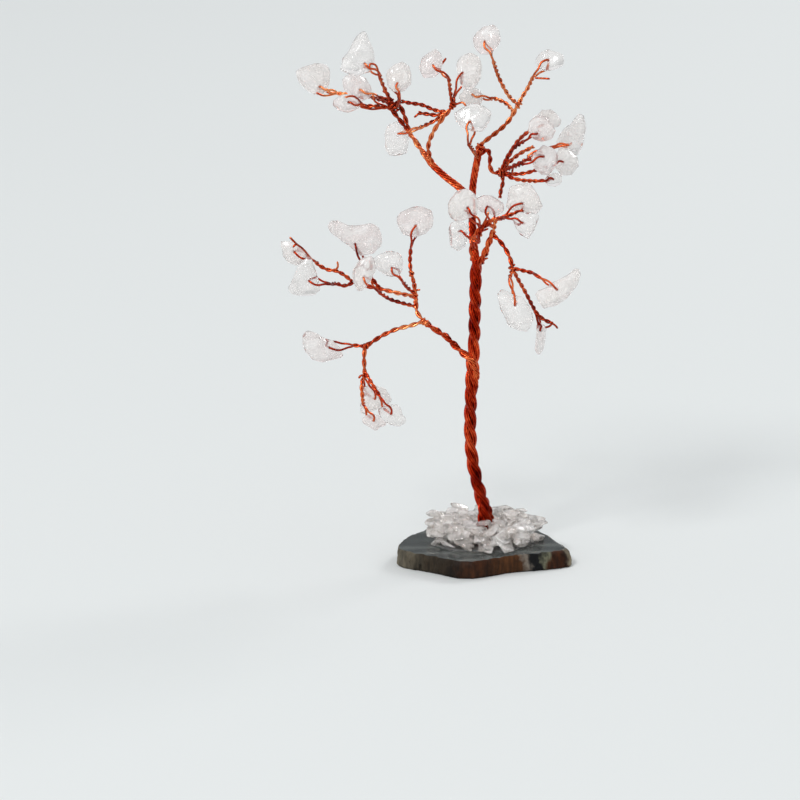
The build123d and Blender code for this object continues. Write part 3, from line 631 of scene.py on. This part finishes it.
def quartz_material(name, tint, clearness, seed, bend=STONE_BEND):
    """Tumbled quartz: cloudy glass with milky veils, clear patches and a faint tint."""
    material, tree, surface = shader(name)
    coordinates = tree.nodes.new("ShaderNodeTexCoord")
    shift = tree.nodes.new("ShaderNodeMapping")
    shift.inputs["Location"].default_value = [seed * step for step in VEIL_STEPS]
    tree.links.new(coordinates.outputs["Object"], shift.inputs["Vector"])
    where = shift.outputs["Vector"]
    veils = add_noise(tree, VEIL_SCALE, detail=5, roughness=0.55, distortion=1.2, where=where)
    colour = add_ramp(tree, veils, [(0.36, tint), (0.62, VEIL_COLOUR)])
    tree.links.new(colour, surface.inputs["Base Color"])
    weight = add_range(tree, veils, clearness, clearness * 0.5, 0.42, 0.68)
    tree.links.new(weight, surface.inputs["Transmission Weight"])
    tree.links.new(add_range(tree, veils, 0.07, 0.3, 0.4, 0.7), surface.inputs["Roughness"])
    surface.inputs["IOR"].default_value = bend
    surface.inputs["Coat Weight"].default_value = 0.5
    surface.inputs["Coat Roughness"].default_value = 0.08
    grain = add_noise(tree, QUARTZ_GRAIN_SCALE, detail=3, where=where)
    add_bump(tree, surface, grain, QUARTZ_GRAIN_DEPTH * MM, 0.12)
    return material


def rim_colours(tree, coordinates):
    """Bands across the rim from left to right, streaked from face to face."""
    links = tree.links
    split = tree.nodes.new("ShaderNodeSeparateXYZ")
    links.new(coordinates, split.inputs["Vector"])
    across = tree.nodes.new("ShaderNodeMath")
    across.operation = "MULTIPLY_ADD"
    across.inputs[1].default_value = RIM_WANDER * MM
    links.new(add_noise(tree, RIM_WANDER_SCALE, detail=3, where=coordinates), across.inputs[0])
    links.new(split.outputs["X"], across.inputs[2])
    left, right = RIM_SPAN
    rim = add_ramp(tree, add_range(tree, across.outputs[0], 0.0, 1.0, left * MM, right * MM), RIM_BANDS)
    stretched = tree.nodes.new("ShaderNodeMapping")
    stretched.inputs["Scale"].default_value = STREAK_STRETCH
    links.new(coordinates, stretched.inputs["Vector"])
    streaks = add_noise(tree, STREAK_SCALE, detail=4, where=stretched.outputs["Vector"])
    return add_mix(tree, 0.8, rim, add_ramp(tree, streaks, STREAK_SHADES), "OVERLAY"), streaks


def agate_material():
    """Polished dark face with faint bands, and a rough rim banded brown, black and pale."""
    material, tree, surface = shader("agate")
    links = tree.links
    coordinates = tree.nodes.new("ShaderNodeTexCoord").outputs["Object"]
    rim, streaks = rim_colours(tree, coordinates)
    bands = tree.nodes.new("ShaderNodeTexWave")
    bands.wave_type = "RINGS"
    bands.inputs["Scale"].default_value = FACE_BAND_SCALE
    bands.inputs["Distortion"].default_value = 5
    bands.inputs["Detail"].default_value = 3
    links.new(coordinates, bands.inputs["Vector"])
    face = add_ramp(tree, bands.outputs["Fac"], FACE_BANDS)
    upright = tree.nodes.new("ShaderNodeSeparateXYZ")
    links.new(tree.nodes.new("ShaderNodeNewGeometry").outputs["Normal"], upright.inputs["Vector"])
    is_face = add_range(tree, upright.outputs["Z"], 0.0, 1.0, *FACE_NORMALS)
    links.new(add_mix(tree, is_face, rim, face), surface.inputs["Base Color"])
    links.new(add_range(tree, is_face, 0.15, 0.6, 0.0, 1.0), surface.inputs["Specular IOR Level"])
    links.new(add_range(tree, is_face, 0.6, 0.2, 0.0, 1.0), surface.inputs["Roughness"])
    add_bump(tree, surface, streaks, STREAK_DEPTH * MM, 0.4)
    return material


def glue_material():
    material, tree, surface = shader("glue")
    surface.inputs["Base Color"].default_value = (0.9, 0.9, 0.88, 1)
    surface.inputs["Transmission Weight"].default_value = 0.9
    tree.links.new(add_range(tree, add_noise(tree, 500), 0.05, 0.25), surface.inputs["Roughness"])
    return material


def floor_material():
    material, tree, surface = shader("floor")
    surface.inputs["Base Color"].default_value = (0.80, 0.825, 0.82, 1)
    surface.inputs["Roughness"].default_value = 0.9
    surface.inputs["Specular IOR Level"].default_value = 0.1
    return material


def by_row(rows, heights, column):
    """One column of a table of rows, at each height."""
    at = [place((FOOT_COLUMN_PX, row[0], 0))[2] for row in rows]
    return np.interp(heights, at, [row[column] for row in rows])


def cable(route, rings):
    """Wires laid side by side round a core."""
    return [tube(route, rings), *bundle(route, CABLE_WIRES, rings, CABLE_PITCH, CABLE_WIRE_RADIUS)]


def make_trunk(material):
    """Bundles of wire twisted into one trunk, and a cable above the boughs that leave it."""
    dice = random.Random(TRUNK_SEED)
    route = route_of(TRUNK_ROUTE_PX)
    top = place((FOOT_COLUMN_PX, BUNDLE_TOP_ROW_PX, 0))[2]
    upper = route[route[:, 2] > place((FOOT_COLUMN_PX, CABLE_ROW_RINGS[0][0], 0))[2]]
    tubes = cable(upper, by_row(CABLE_ROW_RINGS, upper[:, 2], 1))
    route = route[route[:, 2] < top]
    closing = np.sqrt(np.clip((top - route[:, 2]) / TRUNK_CLOSE, 0, 1))
    rings = by_row(TRUNK_ROW_RINGS, route[:, 2], 1) * closing
    inner = by_row(TRUNK_ROW_RINGS, route[:, 2], 2)
    tubes.append(tube(route, rings * TRUNK_CORE_SHARE))
    for number in range(TRUNK_BUNDLES):
        strand = laid(route, rings, TRUNK_PITCH, 2 * math.pi * number / TRUNK_BUNDLES, dice)
        tubes.append(tube(strand, inner * BUNDLE_CORE_SHARE))
        tubes += bundle(strand, TRUNK_BUNDLE_WIRES, inner, TRUNK_BUNDLE_PITCH, TRUNK_WIRE_RADIUS)
    add_piece("trunk_wires", tubes, material, "copper", "trunk_foot", "trunk_middle", "trunk_top")


def limb(spots):
    """Two wires laid together."""
    return bundle(route_of(spots), LIMB_WIRES, LIMB_RING, LIMB_PITCH, LIMB_WIRE_RADIUS)


def make_roots(material):
    tubes = []
    for spots in ROOT_ROUTES_PX:
        tubes += limb(spots)
    add_piece("root_wire_ends", tubes, material, "copper", "root_wires")


def rope(spots, thickness, dice):
    """Two bundles of wire laid together, thinner towards their ends."""
    route = route_of(spots)
    rings = thickness * np.interp(np.linspace(0, 1, len(route)), BOUGH_SHARE_SPOTS, BOUGH_SHARES)
    tubes = [tube(route, BOUGH_RING * BOUGH_CORE_SHARE * rings)]
    inner = BOUGH_BUNDLE_RING * rings
    for number in range(BOUGH_STRANDS):
        strand = laid(route, BOUGH_RING * rings, BOUGH_PITCH, 2 * math.pi * number / BOUGH_STRANDS, dice)
        tubes += bundle(strand, BOUGH_STRAND_WIRES, inner, BUNDLE_PITCH, BUNDLE_WIRE_RADIUS)
    return tubes


def add_groups(groups, coppers):
    """One piece for each node's wires."""
    for node, tubes in groups.items():
        # Each node's copper tone; the paler tones of the crown and top are painted light
        add_piece(node + "_wires", tubes, coppers[NODE_COPPERS.get(node, "deep")], "copper", node)


def make_limbs(coppers):
    """Boughs of two bundles or of one cable, and limbs of two wires."""
    dice = random.Random(BOUGH_SEED)
    route = route_of(CABLE_BOUGH_PX)
    groups = {"upper_left_bough": cable(route, np.linspace(*CABLE_BOUGH_RINGS, len(route)))}
    for node, thickness, spots in BOUGH_ROUTES_PX:
        groups.setdefault(node, []).extend(rope(spots, thickness, dice))
    for node, spots in LIMB_ROUTES_PX:
        groups.setdefault(node, []).extend(limb(spots))
    add_groups(groups, coppers)


def stone_reach(node, hole, bore, leave):
    """How far a stone reaches behind its bore, towards the twig, and half its thickness."""
    spots = np.array([vertex.co for vertex in node.data.vertices]) / MM - hole
    half = np.abs(spots @ bore).max()
    spots = spots - np.outer(spots @ bore, bore)
    reach = np.linalg.norm(spots, axis=1)
    behind = -(spots @ leave) > BACK_COSINE * reach
    return reach[behind].max(), half


def hairpin(number, spots, hole_spot):
    """Twisted pair of legs, opened round the stone and passed through its bore."""
    joint = next(found for found in frame["joints"] if found["child"] == f"stone_{number:02d}")
    hole = place(hole_spot)
    bore = unit(np.array(joint["axis"]))
    points = [place(spot) for spot in spots]
    leave = hole - points[-1]
    leave = unit(leave - bore * (leave @ bore))
    back, half = stone_reach(frame["nodes"][joint["child"]], hole, bore, leave)
    tip = hole - leave * (CROTCH_LENGTH + STONE_SWING_GAP + back)
    on_the_way = [spot for spot in points[1:-1] if (tip - spot) @ leave > TIP_ROOM]
    route = smooth_route([points[0], *on_the_way, tip])
    _, side, up = (found[-1] for found in axes(route))
    angle = math.atan2(bore @ up, bore @ side)
    leg_up = laid(route, TWIG_RING, TWIG_PITCH, angle)
    leg_down = laid(route, TWIG_RING, TWIG_PITCH, angle + math.pi)[::-1]
    near = bore * (half + WIRE_RADIUS + LEG_GAP)
    rise, spread = SHOULDER_LENGTH * (1 - np.cos(SHOULDER_TURNS)), np.sin(SHOULDER_TURNS)
    bow = np.cross(bore, leave) * LEG_BOW
    sides = []
    for way in (1, -1):
        shoulder = tip + np.outer(rise, leave) + np.outer(spread, near * way)
        bowed = (shoulder[-1] + hole + (near + 2 * bow) * way) / 2
        sides.append(np.array([*shoulder, bowed, hole + near * way]))
    loop = eased(np.concatenate([leg_up[-1:], sides[0], [hole], sides[1][::-1], leg_down[:1]]))
    return tube(even(np.concatenate([leg_up[:-1], loop, leg_down[1:]]), WIRE_SPACING), WIRE_RADIUS)


def make_twigs(coppers):
    groups = {}
    for number, (node, spots, hole_spot) in enumerate(TWIG_ROUTES_PX, 1):
        groups.setdefault(node, []).append(hairpin(number, spots, hole_spot))
    add_groups(groups, coppers)


def make_wire_ends(material):
    """Bare twigs, cut ends and hooks."""
    tubes = [tube(route_of(spots), WIRE_RADIUS) for spots in WIRE_END_ROUTES_PX]
    for spots in BARE_TWIG_ROUTES_PX:
        tubes += bundle(route_of(spots), TWIG_WIRES, TWIG_RING, TWIG_PITCH, WIRE_RADIUS)
    add_piece("wire_ends", tubes, material, "copper")


def make_knots(material):
    """Turns of wire wound over the forks."""
    tubes = []
    for start, stop, ring, turns in KNOT_SPOTS_PX:
        line = even(np.array([place(start), place(stop)]), KNOT_SPACING)
        run = run_along(line)
        bulge = ring + KNOT_BULGE * np.sin(math.pi * run / run[-1])
        tubes.append(tube(even(laid(line, bulge, run[-1] / turns, 0), WIRE_SPACING), WIRE_RADIUS))
    add_piece("fork_windings", tubes, material, "copper")


def welded_copy(node, name):
    """A copy of a solid's mesh with its doubled corners joined."""
    mesh = node.data.copy()
    mesh.name = name
    shape = bmesh.new()
    shape.from_mesh(mesh)
    bmesh.ops.remove_doubles(shape, verts=shape.verts, dist=WELD_GAP)
    shape.to_mesh(mesh)
    shape.free()
    return mesh


def remeshed(piece, voxel, material):
    """The piece's mesh made anew of small even faces."""
    change = piece.modifiers.new("remesh", "REMESH")
    change.mode = "VOXEL"
    change.voxel_size = voxel * MM
    change.use_smooth_shade = True
    bpy.context.view_layer.update()
    mesh = bpy.data.meshes.new_from_object(piece.evaluated_get(bpy.context.evaluated_depsgraph_get()))
    piece.modifiers.clear()
    old = piece.data
    piece.data = mesh
    bpy.data.meshes.remove(old)
    mesh.materials.clear()
    mesh.materials.append(material)
    return mesh


def worn(shape, rounds):
    """Wear a mesh's edges down."""
    every_way = {"use_axis_x": True, "use_axis_y": True, "use_axis_z": True}
    for _ in range(rounds):
        bmesh.ops.smooth_vert(shape, verts=shape.verts, factor=WEAR, **every_way)
    shape.normal_update()


def facet(spots, bore, dice):
    """Grind small flats on a stone, shallower on the two faces that its bore runs through."""
    for _ in range(STONE_FACETS):
        way = unit(np.array([dice.gauss(0, 1) for _ in range(3)]))
        depth = dice.uniform(*STONE_FACET_DEPTHS) * (1 - STONE_FACE_SPARED * abs(way @ bore))
        above = spots @ way
        above = np.maximum(above - (above.max() - depth), 0)
        spots = spots - np.outer(above, way)
    return spots


def tumble(mesh, bore, number):
    """Wear the edges down, dent the faces and grind flats on them."""
    shape = bmesh.new()
    shape.from_mesh(mesh)
    worn(shape, STONE_SMOOTH_ROUNDS)
    shift = Vector([number * step for step in STONE_NOISE_STEPS])
    spots = []
    for vertex in shape.verts:
        spot = vertex.co / MM
        dent = noise.noise(spot / STONE_DENT_LENGTH + shift) * STONE_DENT
        chip = (noise.voronoi(spot / STONE_CHIP_LENGTH + shift)[0][0] - 0.5) * STONE_CHIP
        spots.append(spot + vertex.normal * (dent + chip))
    spots = facet(np.array(spots), bore, random.Random(number))
    for vertex, spot in zip(shape.verts, spots):
        vertex.co = Vector(spot) * MM
    worn(shape, STONE_SMOOTH_ROUNDS)
    shape.to_mesh(mesh)
    shape.free()
    mesh.polygons.foreach_set("use_smooth", [True] * len(mesh.polygons))
    mesh.update()


def make_stones(materials):
    for joint in frame["joints"]:
        body = joint["child"]
        number = int(body[-2:])
        material = materials[number % len(materials)]
        piece = new_object(body + "_chip", welded_copy(frame["nodes"][body], body + "_chip"), material)
        tumble(remeshed(piece, STONE_VOXEL, material), unit(np.array(joint["axis"])), number)
        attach(piece, body)
        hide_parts(body)


def round_edge(mesh):
    """Round the slice's upper edge off, most at its right end."""
    rim = [vertex.co.xy.to_3d() for vertex in mesh.vertices if abs(vertex.normal.z) < RIM_NORMAL]
    tree = kdtree.KDTree(len(rim))
    for index, spot in enumerate(rim):
        tree.insert(spot, index)
    tree.balance()
    for vertex in mesh.vertices:
        radius = np.interp(vertex.co.x / MM, EDGE_ROUND_SPAN, EDGE_ROUNDS)
        inwards = tree.find(vertex.co.xy.to_3d())[2] / MM
        if inwards < radius:
            drop = radius - math.sqrt(radius**2 - (radius - inwards) ** 2)
            vertex.co.z -= drop * vertex.co.z / SLAB_THICKNESS


def make_slab(material):
    """The slice with its sawn faces flat and its rim broken."""
    name = "agate_slice_stone"
    piece = new_object(name, welded_copy(frame["nodes"]["agate_slice"], name), material)
    mesh = remeshed(piece, SLAB_VOXEL, material)
    round_edge(mesh)
    for vertex in mesh.vertices:
        spot = vertex.co / MM
        out = Vector((vertex.normal.x, vertex.normal.y, 0))
        squashed = Vector((spot.x, spot.y, spot.z * RIM_ROUGH_SQUASH))
        rough = noise.fractal(squashed / RIM_ROUGH_LENGTH, *RIM_FRACTAL)
        vertex.co += out * (rough - 0.5) * RIM_ROUGH * MM
    mesh.polygons.foreach_set("use_smooth", [True] * len(mesh.polygons))
    mesh.update()
    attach(piece, "tree")
    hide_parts("agate_slice")


def heap_chip(dice):
    """One small tumbled chip about its own middle: the hull of a few scattered corners, its edges worn."""
    length = dice.uniform(*HEAP_CHIP_LENGTHS)
    width = length * dice.uniform(*HEAP_CHIP_WIDTH_SHARES)
    height = length * dice.uniform(*HEAP_CHIP_HEIGHT_SHARES)
    size = Vector((length, width, height)) / 2
    shape = bmesh.new()
    for _ in range(HEAP_CHIP_CORNERS):
        way = Vector((dice.gauss(0, 1), dice.gauss(0, 1), dice.gauss(0, 1))).normalized()
        shape.verts.new(Vector((way.x * size.x, way.y * size.y, way.z * size.z)))
    hull = bmesh.ops.convex_hull(shape, input=shape.verts)
    loose = [found for found in hull["geom_interior"] if isinstance(found, bmesh.types.BMVert)]
    bmesh.ops.delete(shape, geom=loose, context="VERTS")
    bmesh.ops.dissolve_limit(shape, angle_limit=HEAP_CHIP_FLATNESS, verts=shape.verts, edges=shape.edges)
    bmesh.ops.bevel(
        shape, geom=shape.edges[:], offset=HEAP_CHIP_BEVEL_SHARE * length, segments=3, profile=0.5,
        affect="EDGES", clamp_overlap=True,
    )
    bmesh.ops.triangulate(shape, faces=shape.faces)
    shape.verts.index_update()
    corners = np.array([vertex.co for vertex in shape.verts])
    faces = [[vertex.index for vertex in face.verts] for face in shape.faces]
    shape.free()
    return corners, faces


def turned(corners, dice, tilt):
    turn = Matrix.Rotation(dice.uniform(0, 2 * math.pi), 3, "Z")
    lean = Matrix.Rotation(dice.gauss(0, tilt), 3, "X") @ Matrix.Rotation(dice.gauss(0, tilt), 3, "Y")
    return corners @ np.array(lean @ turn).T


def mound(x, y):
    """Height that the heap may reach above a spot."""
    heights = [0.0]
    for across, back, half_width, half_depth, height in HEAP_HUMPS:
        out = ((x - across) / half_width) ** 2 + ((y - back) / half_depth) ** 2
        heights.append(height * max(1 - out, 0) ** HEAP_HUMP_POWER)
    return SLAB_THICKNESS + max(heights) + 2 * HEAP_SINK


class Ground:
    """Grid of heights that chips come to rest on."""

    def __init__(self):
        self.count = int(HEAP_WIDTH * HEAP_GROUND_SHARE / HEAP_CELL)
        steps = (np.arange(self.count) - self.count / 2) * HEAP_CELL
        self.x, self.y = np.meshgrid(steps, steps, indexing="ij")
        self.height = np.full((self.count, self.count), SLAB_THICKNESS + HEAP_SINK)

    def rest(self, spots):
        cells = np.clip((spots[:, :2] / HEAP_CELL + self.count / 2).astype(int), 0, self.count - 1)
        return (self.height[cells[:, 0], cells[:, 1]] - spots[:, 2]).max() - HEAP_SINK

    def cover(self, spots):
        low, high = spots.min(axis=0), spots.max(axis=0)
        middle, half = (low + high) / 2, (high - low) / 2
        far = ((self.x - middle[0]) / half[0]) ** 2 + ((self.y - middle[1]) / half[1]) ** 2
        dome = middle[2] + half[2] * np.sqrt(np.clip(1 - far, 0, 1))
        self.height = np.where(far < 1, np.maximum(self.height, dome), self.height)


def lowest_rest(corners, ground, dice):
    """The chip moved to the lowest of several resting places that keep it within the mound."""
    best = None
    for _ in range(HEAP_TRIES):
        reach, angle = math.sqrt(dice.random()), dice.uniform(0, 2 * math.pi)
        x = reach * (HEAP_WIDTH / 2 - HEAP_EDGE) * math.cos(angle) + HEAP_SHIFT
        y = reach * (HEAP_DEPTH / 2 - HEAP_EDGE) * math.sin(angle)
        spots = corners + np.array([x, y, 0])
        gap = np.hypot(spots[:, 0] - FOOT_MIDDLE[0], spots[:, 1] - FOOT_MIDDLE[1]).min()
        if gap < HEAP_TRUNK_ROOM:
            continue
        spots[:, 2] += ground.rest(spots)
        middle_height = (spots[:, 2].min() + spots[:, 2].max()) / 2
        if middle_height < mound(x, y) and (best is None or middle_height < best[0]):
            best = middle_height, spots
    return best and best[1]


def make_heap(material):
    """Chips dropped one by one round the foot, each coming to rest on those below."""
    dice = random.Random(HEAP_SEED)
    ground = Ground()
    shapes = []
    for _ in range(HEAP_CHIPS):
        corners, faces = heap_chip(dice)
        spots = lowest_rest(turned(corners, dice, HEAP_TILT), ground, dice)
        if spots is not None:
            ground.cover(spots)
            shapes.append((spots, faces))
    piece = add_piece("heap_chips", shapes, material, "heap_quartz", "heap_lower_chips", "heap_upper_chips")
    mesh = remeshed(piece, HEAP_VOXEL, material)
    shape = bmesh.new()
    shape.from_mesh(mesh)
    worn(shape, HEAP_SMOOTH_ROUNDS)
    shape.to_mesh(mesh)
    shape.free()


def make_glue(material):
    """Low uneven film of glue that the heap sits in."""
    corners = [(0, 0, SLAB_THICKNESS + GLUE_HEIGHT)]
    for ring in range(1, GLUE_RINGS + 1):
        share = ring / GLUE_RINGS
        for side in range(GLUE_SIDES):
            turn = 2 * math.pi * side / GLUE_SIDES
            wave = 1 + sum(size * math.sin(count * turn + phase) for size, count, phase in GLUE_WAVES)
            x = HEAP_WIDTH / 2 * GLUE_SHARE * share * wave * math.cos(turn)
            y = HEAP_DEPTH / 2 * GLUE_SHARE * share * wave * math.sin(turn)
            ripple = GLUE_RIPPLE * noise.noise(Vector((x, y, 0)) / GLUE_RIPPLE_LENGTH) * (1 - share)
            corners.append((x, y, SLAB_THICKNESS + GLUE_HEIGHT * math.sqrt(1 - share**2) + ripple))
    faces = [(0, 1 + side, 1 + (side + 1) % GLUE_SIDES) for side in range(GLUE_SIDES)]
    for ring in range(GLUE_RINGS - 1):
        low = 1 + ring * GLUE_SIDES
        for side in range(GLUE_SIDES):
            after = (side + 1) % GLUE_SIDES
            faces.append((low + side, low + GLUE_SIDES + side, low + GLUE_SIDES + after, low + after))
    last = 1 + (GLUE_RINGS - 1) * GLUE_SIDES
    faces.append(tuple(last + side for side in reversed(range(GLUE_SIDES))))
    add_piece("glue_film", [(corners, faces)], material, "glue", "glue_bed")


def make_floor():
    mesh = bpy.data.meshes.new("floor")
    size = FLOOR_HALF
    corners = [(-size, -size, 0), (size, -size, 0), (size, size, 0), (-size, size, 0)]
    mesh.from_pydata(corners, [], [(0, 1, 2, 3)])
    new_object("floor", mesh, floor_material())


def make_lamps():
    """Two soft round lamps aimed at the trunk, and not seen through glass."""
    for name, spot, aim, size, power in LAMPS:
        light = bpy.data.lights.new(name, "AREA")
        light.shape = "DISK"
        light.size = size
        light.energy = power
        lamp = bpy.data.objects.new(name, light)
        lamp.location = spot
        lamp.visible_transmission = False
        lamp.rotation_euler = (Vector((0, 0, aim)) - Vector(spot)).to_track_quat("-Z", "Y").to_euler()
        bpy.context.scene.collection.objects.link(lamp)


def mirrored_sky(tree):
    """Strength of the sky in a mirror: bright towards the key lamp and dim away from it."""
    towards = tree.nodes.new("ShaderNodeVectorMath")
    towards.operation = "DOT_PRODUCT"
    towards.inputs[1].default_value = Vector(KEY_SPOT).normalized()
    tree.links.new(tree.nodes.new("ShaderNodeTexCoord").outputs["Generated"], towards.inputs[0])
    return add_range(tree, towards.outputs["Value"], *SKY_MIRRORED, *SKY_TURN)


def make_sky():
    """Sky that is even where looked at or through glass, dimmer as a lamp and uneven in mirrors."""
    world = bpy.data.worlds.new("studio")
    world.use_nodes = True
    tree = world.node_tree
    sky = tree.nodes["Background"]
    sky.inputs["Color"].default_value = SKY_COLOUR
    path = tree.nodes.new("ShaderNodeLightPath")
    either = tree.nodes.new("ShaderNodeMath")
    either.operation = "MAXIMUM"
    tree.links.new(path.outputs["Is Camera Ray"], either.inputs[0])
    tree.links.new(path.outputs["Is Transmission Ray"], either.inputs[1])
    unseen = tree.nodes.new("ShaderNodeMix")
    unseen.inputs["A"].default_value = SKY_LIGHT
    tree.links.new(path.outputs["Is Glossy Ray"], unseen.inputs["Factor"])
    tree.links.new(mirrored_sky(tree), unseen.inputs["B"])
    strength = tree.nodes.new("ShaderNodeMix")
    strength.inputs["B"].default_value = SKY_SEEN
    tree.links.new(either.outputs[0], strength.inputs["Factor"])
    tree.links.new(unseen.outputs["Result"], strength.inputs["A"])
    tree.links.new(strength.outputs["Result"], sky.inputs["Strength"])
    bpy.context.scene.world = world


def make_camera():
    """Camera that frames the reference view, raised by its tilt."""
    field = FRAME_PX * PIXEL_SIZE
    camera = bpy.data.cameras.new("camera")
    camera.sensor_width = SENSOR
    camera.lens = SENSOR * CAMERA_DISTANCE / (field * MM)
    camera.clip_end = CLIP_END
    middle = Vector(place((FRAME_PX / 2, FRAME_PX / 2, 0))) * MM
    back = Vector((0, -math.cos(VIEW_TILT), math.sin(VIEW_TILT)))
    eye = bpy.data.objects.new("camera", camera)
    eye.location = middle + back * CAMERA_DISTANCE
    eye.rotation_euler = (-back).to_track_quat("-Z", "Y").to_euler()
    bpy.context.scene.collection.objects.link(eye)
    bpy.context.scene.camera = eye


coppers = {tone: copper_material("copper_" + tone, *colours) for tone, colours in COPPERS.items()}
quartz = [quartz_material(*row) for row in QUARTZES]
make_camera()
# The trunk and roots take the darkest copper, a painted shade
make_trunk(coppers["trunk"])
make_roots(coppers["trunk"])
make_limbs(coppers)
make_twigs(coppers)
make_wire_ends(coppers["plain"])
make_knots(coppers["plain"])
make_stones(quartz)
make_slab(agate_material())
make_heap(quartz_material(*HEAP_QUARTZ, HEAP_BEND))
make_glue(glue_material())
make_floor()
make_sky()
make_lamps()

bpy.context.scene.view_settings.view_transform = "Standard"
